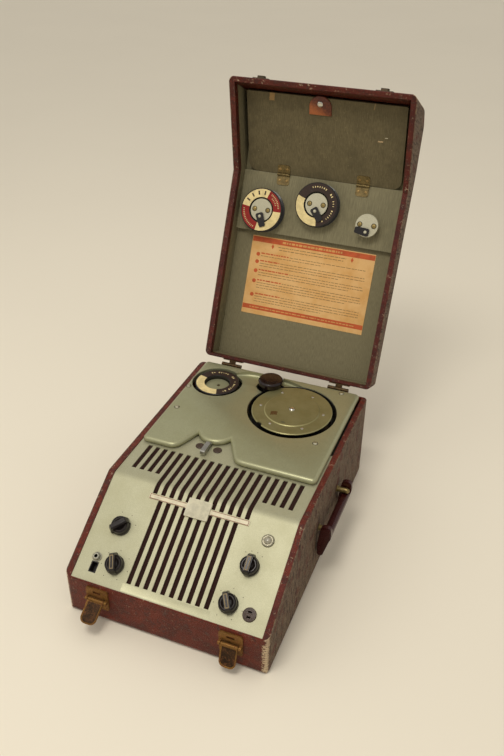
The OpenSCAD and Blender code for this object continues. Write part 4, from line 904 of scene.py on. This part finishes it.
class RECORDER_OT_panel(bpy.types.Operator):
    """Paints the control panel and its trim"""
    bl_idname = "recorder.panel"
    bl_label = "Control panel"

    def execute(self, context):
        settings = context.scene.recorder_panel
        dress(silver_paint("panel paint", settings.paint_colour), "control_panel")
        dress(cloth_finish("speaker cloth", rgb("2f1c17")), "grille_cloth")
        dress(printed("bar enamel", settings.bar_colour, 0.3, 0.4), "name_bar")
        chrome = bright_metal("plated trim", rgb("a8a594"), 0.25, 0.5)
        dress(chrome, "input_connector")
        dress(bright_metal("bezel metal", rgb("98927e"), 0.35, 0.5), "pilot_bezel")
        jewel = Finish("lamp jewel", roughness=0.12, Specular_IOR_Level=0.6)
        glow = jewel.noise(0.003, 2, 0.5)
        jewel.set("Base Color", jewel.mix(glow.rise(0.3, 0.7), rgb("a39c86"), rgb("857e69")))
        jewel.set("Coat Weight", 0.8).bump(glow, 0.0002, 0.3)
        dress(jewel, "pilot_jewel")
        brown = moulded("socket bakelite", rgb("3d2c20"), 0.5, 0.4, 0.1)
        dress(brown, "output_socket", "lever_bumpers")
        dress(moulded("socket black", rgb("15100d"), 0.4, 0.3, 0.15), "input_socket")
        self.print_dots(settings)
        self.add_trim(settings)
        return {"FINISHED"}

    def print_dots(self, settings):
        """Printed dots round the four controls, with no lettering."""
        ink = printed("panel print", settings.mark_colour, 0.5)
        radius = settings.dot_radius / MM
        dots = []
        for knob, first, last, count in (("volume_knob", -60, 240, settings.dots),
                                         ("tone_knob", -60, 240, settings.dots),
                                         ("selector_knob", 55, 125, 4), ("function_knob", 20, 110, 3)):
            x, s = KNOB_PLACES[knob]
            for k in range(count):
                angle = math.radians(first + (last - first) * k / (count - 1))
                at = slope_frame(x + DOT_RING * math.cos(angle), s + DOT_RING * math.sin(angle), -0.02)
                dots.append(place(disc(radius, 10, 0.08), at))
        add("panel_dots", join(dots), "case", ink)

    def add_trim(self, settings):
        """Red-brown edge lines on the bar, and a raised frame round its bare plaque."""
        lines = []
        for side in (-1, 1):
            for width, length, across, along in ((52, 0.7, 44.5, 129.4), (52, 0.7, 44.5, 135.2),
                                                 (0.7, 6.4, 70.7, 132.3)):
                line = block(rectangle(width, length), 0.12)
                lines.append(place(line, slope_frame(side * across, along, 1.2)))
        add("bar_lines", join(lines), "case", printed("bar red", rgb("7c3a24"), 0.45))
        strip = place(tray(rectangle(124, 11, 0.5), 0.22, 0.5, 0.1, 0.05), slope_frame(0, 8.5, 0.0))
        strip_paint = silver_paint("strip paint", rgb("b6b393"), 0.5, 0.4)
        add("panel_strip", strip, "case", strip_paint)
        bright = printed("plaque enamel", rgb("cfc8ac"), 0.25, 0.35)
        frame_piece = tray(rectangle(33, 25.5, 1.5), 0.7, 1.6, 0.45, 0.3)
        add("plaque_frame", place(frame_piece, slope_frame(0, 131.5, 2.6)), "case", bright)


class RECORDER_OT_knobs(bpy.types.Operator):
    """Finishes the four pointer knobs and the rubbed tops of their bars"""
    bl_idname = "recorder.knobs"
    bl_label = "Knobs"

    def execute(self, context):
        settings = context.scene.recorder_panel
        for body, name, turn, rubbed in (("function_switch", "function_knob", 135, False),
                                         ("volume", "volume_knob", 22, True),
                                         ("selector", "selector_knob", 2, True),
                                         ("tone", "tone_knob", 28, True)):
            x, s = KNOB_PLACES[name]
            label = name.replace("_", " ")
            dress(moulded(label + " bakelite", settings.knob_colour, 0.22, 0.4, 0.25), name)
            at = slope_frame(x, s, 0.4) @ Matrix.Rotation(math.radians(turn), 4, "Z")
            tops = [place(block(rectangle(1.3, 18.5, 0.6), 0.35, 0.2, 2), spot(side * 1.95, 0.2, 15.4))
                    for side in (-1, 1)]
            tops += [place(block(rectangle(3.6, 1.5, 0.6), 0.3, 0.2, 2), spot(0, end, 15.4))
                     for end in (-8.3, 8.7)]
            colour = settings.pointer_colour if rubbed else rgb("2c2521")
            add(name + "_top", place(join(tops), at), body,
                printed(label + " top", colour, 0.35, 0.35))
            dimple = [(6.0, 5.95), (7.2, 6.05), (8.6, 7.65), (9.3, 8.25), (9.3, 8.45), (8.4, 8.45),
                      (7.0, 6.65), (6.0, 6.25), (6.0, 5.95)]
            ring = turned_piece(dimple, 40)
            # The dish's bakelite is lighter and dustier than the knob's: dust, and a painted reflection in the
            # scoop.
            add(name + "_dish", place(ring, at), body,
                moulded(label + " dish", rgb("2a231e"), 0.3, 0.4, 0.4))
        return {"FINISHED"}


class RECORDER_OT_deck(bpy.types.Operator):
    """Builds the deck cover, and finishes its wells, the take-up drum and the head"""
    bl_idname = "recorder.deck"
    bl_label = "Deck"

    def execute(self, context):
        settings = context.scene.recorder_deck
        paint = silver_paint("deck paint", settings.paint_colour, 0.6, 0.34)
        dress(paint, "supply_turntable")
        self.add_cover(settings, paint)
        self.add_liner()
        dress(bright_metal("screw steel", rgb("c6c0a6"), 0.25, 0.3), "deck_screws")
        dress(disc_finish("disc paint", settings.disc_colour), "takeup_disc")
        nickel = bright_metal("rivet nickel", rgb("cfcabd"), 0.2, 0.2)
        dress(nickel, "takeup_rivets")
        dress(moulded("drum black", rgb("161412"), 0.3, 0.3, 0.3), "takeup_drum")
        dress(bright_metal("machined steel", rgb("a9a79e"), 0.3, 0.3), "takeup_shaft", "head_post",
              "control_lever", "supply_wire")
        dress(moulded("cap maroon", settings.cap_colour, 0.12, 0.5, 0.10), "head_cap")
        dress(moulded("head black", rgb("151211"), 0.35, 0.3, 0.3), "head_body")
        self.add_fittings(nickel)
        return {"FINISHED"}

    def add_fittings(self, nickel):
        """Painted shadow rings round the cover's screws, the wire guide in the trough and the screw in the
        supply hub.
        """
        grime_and_shade = printed("screw shadow ring", rgb("2f2c1e"), 0.3)
        # Dark rings painted on the cover round each screw head stand for the shadow under it.
        rings = [place(sector(3.2, 4.2, 0, 360, 0.06), deck_frame(x, y, 149.47)) for x, y in COVER_SCREWS]
        add("screw_shadow_rings", join(rings), "case", grime_and_shade)
        guide = [(0, 0), (0.7, 0), (0.7, 9.0), (1.5, 9.2), (1.5, 9.9), (0.9, 10.4), (0, 10.5)]
        arm = place(turned_about_x([(0, -4.5), (0.7, -4.5), (0.7, 4.5), (0, 4.5)], 16),
                    spot(-3.5, -2.0, 9.6, 35))
        add("wire_guide", place(join([turned_piece(guide, 20), arm]), deck_frame(7.6, 421.5, 142.6)), "case",
            nickel)
        dark = old_brass("hub screw", rgb("4a4028"), 0.2)
        add("hub_screw", place(screw(2.4, 0.9, 0.6, 50), deck_frame(-86.6, 376.6, 143.0)), "supply_table",
            dark)

    def cover_outline(self):
        """The cover from above, with the notch at its front and the bulge round the lever."""
        left_edge = [(-90, 204.0), (-84, 204.6), (-79.3, 207.2), (-75.8, 211.5), (-72.6, 218), (-69.3, 226),
                     (-66.2, 234), (-63.6, 241)]
        right_edge = [(-8.6, 242.5), (-4.4, 235), (0.6, 226), (5.0, 217.5), (9.0, 211.2), (13.5, 207.0),
                      (18.5, 204.9), (24, 204.0)]
        bulge = arc(-37, 262, 29, 213, 331, 13)
        return [*arc(-124.5, 211.0, 7.0, 180, 270, 6), *left_edge, *bulge, *right_edge,
                *arc(124.5, 211.0, 7.0, 270, 360, 6), *arc(124.5, 423.0, 7.0, 0, 90, 6),
                *arc(-124.5, 423.0, 7.0, 90, 180, 6)]

    def add_cover(self, settings, paint):
        """A sheet with a rolled lip, a skirt set in under it, three openings and a swooping wire trough."""
        lip = settings.lip / MM
        sheet = block(self.cover_outline(), 6.4, lip, 6)
        bottom = min(sheet.faces, key=lambda face: face.calc_center_median().z)
        bmesh.ops.bevel(sheet, geom=list(bottom.edges), offset=0.6 * MM, segments=2, affect="EDGES",
                        profile=0.5, material=-1)
        bottom = min(sheet.faces, key=lambda face: face.calc_center_median().z)
        bmesh.ops.inset_region(sheet, faces=[bottom], thickness=2.6 * MM, use_even_offset=True)
        made = bmesh.ops.extrude_face_region(sheet, geom=[bottom])
        bmesh.ops.translate(sheet, verts=[v for v in made["geom"] if isinstance(v, bmesh.types.BMVert)],
                            vec=(0, 0, -2.5 * MM))
        bmesh.ops.delete(sheet, geom=[bottom], context="FACES_ONLY")
        bmesh.ops.recalc_face_normals(sheet, faces=sheet.faces)
        place(sheet, spot(0, 0, 143.1))
        bed = [(-60, 386), (30, 386), (52, 405), (41, 417.5), (15, 425.6), (-45.5, 425.6), (-64, 418.4),
               (-76.5, 408.6)]
        bed_piece = place(block(bed, 8), spot(0, 0, 140.6))
        channel = bmesh.new()
        course = [(-66.3, 384), (37.8, 384), (47, 393), (53.5, 402), (52.5, 408), (44, 413.5), (33, 418),
                  (18, 422.5), (3, 424.5), (-40, 424.5), (-52, 422.5), (-62, 418), (-69, 412.5), (-74.3, 406)]
        floor = outline(channel, [(x * MM, y * MM) for x, y in course])
        raise_face(channel, floor, 20 * MM)
        bmesh.ops.bevel(channel, geom=list(floor.edges), offset=4.0 * MM, segments=5, affect="EDGES",
                        profile=0.5, material=-1)
        for vert in channel.verts:
            sink = min(1.0, max(0.0, (vert.co.y / MM - 382) / 36)) if vert.co.z < 12 * MM else 0.0
            vert.co.z += (149.5 - 6.6 * sink ** 0.8) * MM
        wells = [place(turned_piece([(0, 0), (r, 0), (r, 30), (0, 30)], 96), spot(x, y, 130))
                 for x, y, r in ((*SUPPLY_AT, 40.0), (*TAKEUP_AT, 67.9), (-6.0, 398.0, 22.5))]
        cutters = [(bed_piece, True), (channel, False), *[(well, False) for well in wells]]
        cover = place(cut_piece(sheet, cutters, 0.9), deck_frame(0, 0, 0))
        piece = add("deck_cover_sheet", cover, "case", paint, 30)
        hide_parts("deck_cover")

    def add_liner(self):
        """The black lacquered ring inside the take-up opening."""
        lacquer = moulded("liner black", rgb("0f0e0c"), 0.15, 0.3, 0.6)
        wall = [(66.4, 134), (67.7, 134), (67.7, 148.2), (67.2, 148.6), (66.6, 148.2), (66.4, 134)]
        ring = place(turned_piece(wall, 96), deck_frame(*TAKEUP_AT, 0))
        add("takeup_liner", ring, "case", lacquer)


def ring_marks(radius, first, last, count, width, length, uneven=0.0):
    """Short printed dashes across a ring label, in millimetres and degrees."""
    scatter = random.Random(count)
    marks = []
    for k in range(count):
        if scatter.random() < uneven * 0.35:
            continue
        angle = math.radians(first + (last - first) * k / max(1, count - 1))
        mark_length = length * (1 - uneven * scatter.uniform(0, 0.5))
        mark_width = width * (1 + uneven * scatter.uniform(-0.4, 0.5))
        marks.append(place(block(rectangle(mark_length, mark_width), 0.16),
                           spot(radius * math.cos(angle), radius * math.sin(angle), 0, math.degrees(angle))))
    return marks


class RECORDER_OT_spools(bpy.types.Operator):
    """Finishes the wire spools and puts their paper labels on"""
    bl_idname = "recorder.spools"
    bl_label = "Wire spools"

    def execute(self, context):
        lid = context.scene.recorder_lid
        enamel = moulded("spool enamel", rgb("1d1916"), 0.25, 0.4, 0.25)
        dress(enamel, "supply_spool", "stored_spool_left", "stored_spool_middle")
        cream = printed("label cream", lid.label_colour, 0.4)
        red = printed("label red", rgb("8e1c12"), 0.3)
        brown = printed("label brown", rgb("33231a"), 0.3)
        left, middle = [lid_frame(*at, 11.7) for at in CLIP_PLACES[:2]]
        supply = deck_frame(*SUPPLY_AT, 149.2)
        for name, body, at, look, arcs in (
                ("left_label_cream", "spare_spool_left", left, cream, ((70, 172), (-100, 0))),
                ("left_label_red", "spare_spool_left", left, red, ((0, 70), (172, 260))),
                ("middle_label_cream", "spare_spool_middle", middle, cream, ((160, 278),)),
                ("middle_label_brown", "spare_spool_middle", middle, brown, ((-82, 160),)),
                ("supply_label_cream", "supply_reel", supply, cream, ((165, 290),)),
                ("supply_label_brown", "supply_reel", supply, brown, ((-70, 165),))):
            bands = [sector(20.6, 33.4, start, end, 0.12) for start, end in arcs]
            add(name, place(join(bands), at), body, look)
        for name, body, at, look, marks in (
                ("left_marks_dark", "spare_spool_left", left, brown, ring_marks(27.5, 84, 150, 4, 2.4, 6.5)),
                ("left_marks_cream", "spare_spool_left", left, cream,
                 ring_marks(29.4, 12, 60, 10, 0.9, 2.6) + ring_marks(25.4, 24, 50, 5, 0.9, 2.2) +
                 ring_marks(29.4, 182, 250, 13, 0.9, 2.6)),
                ("middle_marks_cream", "spare_spool_middle", middle, cream,
                 ring_marks(28.0, -60, 126, 25, 1.5, 3.4, 1.0)),
                ("supply_marks_cream", "supply_reel", supply, cream,
                 ring_marks(28.0, -48, 130, 24, 1.5, 3.4, 1.0))):
            add(name, place(join(marks), at), body, look)
        return {"FINISHED"}


class RECORDER_OT_lid(bpy.types.Operator):
    """Finishes the boards, clips and cams inside the lid, and prints the sheet"""
    bl_idname = "recorder.lid"
    bl_label = "Lid inside"

    def execute(self, context):
        settings = context.scene.recorder_lid
        dress(board_finish("spool board cloth", settings.board_colour, 0.3), "spool_board")
        torn = ((-0.0845, 0.0165, 0.0055, 0.0065, "94774c", 0.1),
                (0.0765, 0.0150, 0.0022, 0.0060, "8a7450", 0.2),
                (0.0885, 0.0600, 0.0052, 0.0022, "b79c74", 0.9),
                (0.0972, 0.0545, 0.0034, 0.0018, "c7bda0", 0.7),
                (0.0010, 0.0862, 0.0062, 0.0013, "93855f", 0.1))
        dress(board_finish("flap cloth", settings.flap_colour, 0.6, torn), "pocket_door")
        dress(aged_paper("sheet paper", settings.sheet_colour), "instruction_sheet")
        clip = silver_paint("clip aluminium", rgb("b9b49b"), 0.3, 0.42, 0.35)
        dress(clip, "clip_posts")
        dress(moulded("cam black", rgb("171210"), 0.25, 0.3, 0.25), "cam_left", "cam_middle", "cam_right")
        self.add_tab()
        self.print_sheet(settings)
        self.add_clip_screws()
        return {"FINISHED"}

    def add_tab(self):
        """The leather tab with its rounded end, skived edge and snap."""
        leather = Finish("tab leather", roughness=0.45, Specular_IOR_Level=0.45)
        crease = leather.noise(0.004, 5, 0.7)
        pore = leather.cells(0.0007)
        where, x, y, z = shut_lid_axes(leather)
        light = (y - x * 0.6 + crease * 0.012).rise(0.028, 0.048)
        creased = leather.mix(crease.rise(0.35, 0.7), rgb("4e1f10"), rgb("713519"))
        leather.set("Base Color", leather.mix(light, creased, rgb("a1592b")))
        leather.bump(pore + crease, 0.0003, 0.5)
        shape = [(-17.5, -14.5), (17.5, -14.5), (17.5, -2.5), *arc(0, -2.5, 17.5, 8, 172, 20), (-17.5, -2.5)]
        shape = [(x, min(y, 14.5)) for x, y in shape]
        piece = add("tab_leather", place(block(shape, 2.1, 0.8), door_frame(-6.6, 42.0, 28.0)), "pocket_flap",
                    leather)
        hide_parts("leather_tab")
        profile = [(0, 0), (3.9, 0), (4.4, 0.4), (4.4, 0.9), (3.7, 1.5), (2.6, 1.9), (1.5, 1.6), (0, 1.5)]
        cap = place(turned_piece(profile, 32), door_frame(-6.8, 39.3, 25.9))
        nickel = bright_metal("snap nickel", rgb("cfcabd"), 0.2, 0.3)
        snap = add("snap_cap", cap, "pocket_flap", nickel)
        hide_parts("tab_snap")

    def print_sheet(self, settings):
        """Bands, numbered-step discs and rows of plain dashes on the sheet."""
        at = lid_frame(0, 0, 38.6)
        scatter = random.Random(7)

        def row(first, last, s, height, dashes):
            x = first
            while x < last:
                width = min(scatter.uniform(2.2, 8.5), last - x)
                if width > 1.0:
                    dashes.append(place(block(rectangle(width, height), 0.08), spot(x + width / 2, s)))
                x += width + scatter.uniform(1.0, 1.7)

        diamond = [(0, -4.2), (2.4, 0), (0, 4.2), (-2.4, 0)]
        bands = [place(block(rectangle(209, height), 0.08), spot(0, s))
                 for s, height in ((203.4, 8.4), (90.6, 7.6))]
        bands += [place(block(diamond, 0.08), spot(x, 194.5)) for x in (-68, 68)]
        text = []
        row(-58, 58, 195.0, 1.1, text)
        row(-56, 54, 190.6, 1.1, text)
        paragraphs = ((179.0, -38, 1), (166.6, -52, 2), (151.4, -34, 2), (134.4, -44, 3), (111.4, -42, 3))
        for s, last, lines in paragraphs:
            bands.append(place(disc(3.3, 20, 0.08), spot(-91.2, s)))
            row(-86, last, s + 2.3, 2.0, bands)
            row(last + 2, 94, s + 2.0, 1.0, text)
            for line in range(lines):
                end = 94 if line < lines - 1 else scatter.uniform(10, 90)
                row(-86, end, s - 2.2 - 4.1 * line, 1.0, text)
        margin = []
        row(-92, 90, 90.6, 1.5, margin)
        row(-52, 50, 203.4, 3.2, margin)
        red, grey = printed("sheet red", settings.ink_colour, 0.35), printed("sheet grey", rgb("8f7346"), 0.4)
        add("sheet_bands", place(join(bands), at), "lid", red)
        add("sheet_rows", place(join(text), at), "lid", grey)
        add("sheet_margins", place(join(margin), place_up(at, 0.06)), "lid",
            printed("sheet pale", rgb("d39a55"), 0.2))

    def add_clip_screws(self):
        """Two slotted brass screws on each clip's face, with a painted shadow ring round each."""
        brass = old_brass("clip screws", rgb("8a7747"), 0.1, 0.35)
        heads, rings = [], []
        for (x, s), turn in zip(CLIP_PLACES, (10, 20, -15)):
            for across in (x - 11.3, x + 11.3):
                lean = turn + (55 if across > x else -55)
                heads.append(place(screw(3.4, 1.0, 0.9, lean), lid_frame(across, s + 0.6, 12.45)))
                # A dark ring under each screw head is painted shadow.
                rings.append(place(sector(3.3, 4.3, 0, 360, 0.05), lid_frame(across, s + 0.6, 12.4)))
        add("clip_shadow_rings", join(rings), "lid", printed("clip shadow ring", rgb("3c3827"), 0.3))
        add("clip_screws", join(heads), "lid", brass)


class RECORDER_OT_inside(bpy.types.Operator):
    """Finishes the works under the deck"""
    bl_idname = "recorder.inside"
    bl_label = "Works"

    def execute(self, context):
        steel = bright_metal("plated steel", rgb("7f7d72"), 0.45, 0.6)
        dress(steel, "mechanism_plate", "amplifier_chassis", "speaker_frame", "control_bodies")
        dress(moulded("black lacquer", rgb("232220"), 0.4, 0.3, 0.3), "power_transformer", "drive_motor")
        glass = Finish("valve glass", roughness=0.1, Specular_IOR_Level=0.6)
        haze = glass.noise(0.01, 3, 0.5)
        glass.set("Base Color", glass.mix(haze.rise(0.3, 0.7), rgb("8c8a82"), rgb("3a3936")))
        glass.set("Coat Weight", 0.8)
        dress(glass, "vacuum_tubes")
        dress(cloth_finish("cone paper", rgb("2e2a26")), "speaker_cone")
        dress(moulded("idler rubber", rgb("23211f"), 0.6, 0.3, 0.3), "idler_wheel")
        dress(old_brass("pulley brass", rgb("a58a4c"), 0.1), "motor_pulley")
        return {"FINISHED"}


class RECORDER_PT_panel(bpy.types.Panel):
    """Lists the recorder's steps in the sidebar"""
    bl_idname = "RECORDER_PT_panel"
    bl_label = "Wire Recorder"
    bl_space_type = "VIEW_3D"
    bl_region_type = "UI"
    bl_category = "Recorder"

    def draw(self, context):
        for step in STEPS:
            self.layout.operator(step.bl_idname)
        for group in SETTINGS:
            settings = getattr(context.scene, group)
            box = self.layout.box()
            for name in settings.bl_rna.properties.keys():
                if name not in ("rna_type", "name"):
                    box.prop(settings, name)


SETTINGS = {"recorder_case": CaseSettings, "recorder_panel": PanelSettings, "recorder_deck": DeckSettings,
            "recorder_lid": LidSettings, "recorder_stage": StageSettings}
STEPS = (RECORDER_OT_stage, RECORDER_OT_case, RECORDER_OT_panel, RECORDER_OT_knobs, RECORDER_OT_deck,
         RECORDER_OT_spools, RECORDER_OT_lid, RECORDER_OT_inside)


def register():
    for kind in (*SETTINGS.values(), *STEPS, RECORDER_PT_panel):
        bpy.utils.register_class(kind)
    for name, kind in SETTINGS.items():
        setattr(bpy.types.Scene, name, PointerProperty(type=kind))


def unregister():
    for name in SETTINGS:
        delattr(bpy.types.Scene, name)
    for kind in (RECORDER_PT_panel, *reversed(STEPS), *SETTINGS.values()):
        bpy.utils.unregister_class(kind)


def main():
    register()
    for step in STEPS:
        group, name = step.bl_idname.split(".")
        getattr(getattr(bpy.ops, group), name)()


if __name__ == "__main__":
    main()
